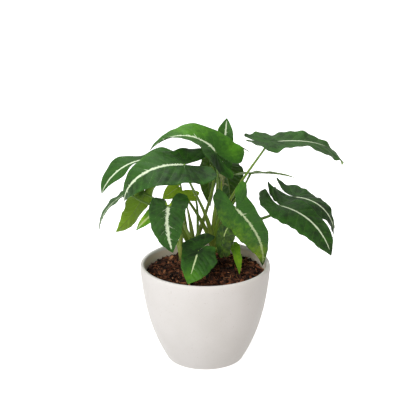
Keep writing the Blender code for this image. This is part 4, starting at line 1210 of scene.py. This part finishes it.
# A blade: each half has a top and an underside grid, and strips close them at the margin and the sinus.
def makeBlade(number, leaf, material):
    draw = np.random.default_rng(int(number))
    length = np.linalg.norm(np.subtract(leaf["tip"], leaf["base"]))
    rows, columns = bladeShape["largeGrid"] if length > bladeShape["large"] else bladeShape["smallGrid"]
    _, span, _ = bladePlace(leaf)
    size = (rows + 1) * (columns + 1)
    points = []
    layers = {name: [] for name in ("flatPlace", "veinNumber", "stripe", "tones", "underside")}
    corners = np.arange(4 * size).reshape(2, 2, rows + 1, columns + 1)
    for half, side in enumerate((1, -1)):
        grid, lobeRows, share = halfGrid(rows, columns, side, leaf, draw)
        along, across = grid[..., 0], grid[..., 1]
        share = np.broadcast_to(share, along.shape)
        out, halfWide = across * leaf["wide"][half], leaf["wide"][half] * span
        vein = veinNumber(along, out)
        shift = vein + veinShape["offset"] * side
        lifts = bladeRelief(leaf, number, half, along, share, halfWide, across * halfWide / mm, shift)
        bright, lime = bladeTones(leaf, along, side * out)
        own = {
            "flatPlace": (along * span, side * across * halfWide, 0 * along + int(number) * 0.13),
            "veinNumber": (vein,),
            "stripe": (stripeWidth(leaf, along), leaf["old"] + 0 * along, leaf["torn"] + 0 * along),
            "tones": (bright, lime, ease(share, 0.72, 1.0)),
        }
        for level, lift in enumerate(lifts):
            points.append(bladePoint(along.ravel(), across.ravel(), side, leaf, lift.ravel()))
            for name, values in (*own.items(), ("underside", (level + 0 * along,))):
                layers[name].append(np.stack(values, -1).reshape(size, -1))
    corners[1, :, lobeRows:, 0] = corners[0, :, lobeRows:, 0]
    corners[:, :, 0, :] = corners[:, :, 0, :1]
    corners[:, :, rows, :] = corners[:1, :, rows, :1]
    quads = []
    for half, (top, bottom) in enumerate(corners):
        quads += [gridQuads(top, half == 1), gridQuads(bottom, half == 0)]
        quads.append(gridQuads(np.stack([top[:, -1], bottom[:, -1]], 1), half == 1))
        quads.append(gridQuads(np.stack([top[:lobeRows + 1, 0], bottom[:lobeRows + 1, 0]], 1), half == 0))
    layers = {name: np.concatenate(values).squeeze() for name, values in layers.items()}
    piece = makePiece("blade" + number, np.vstack(points), np.vstack(quads), material, layers)
    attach(piece, "root")
    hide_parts("leaf_" + number)


velvet = leafMaterial(leafFinish)
for number, leaf in leaves.items():
    makeBlade(number, leaf, velvet)
print("blades made:", len(leaves))
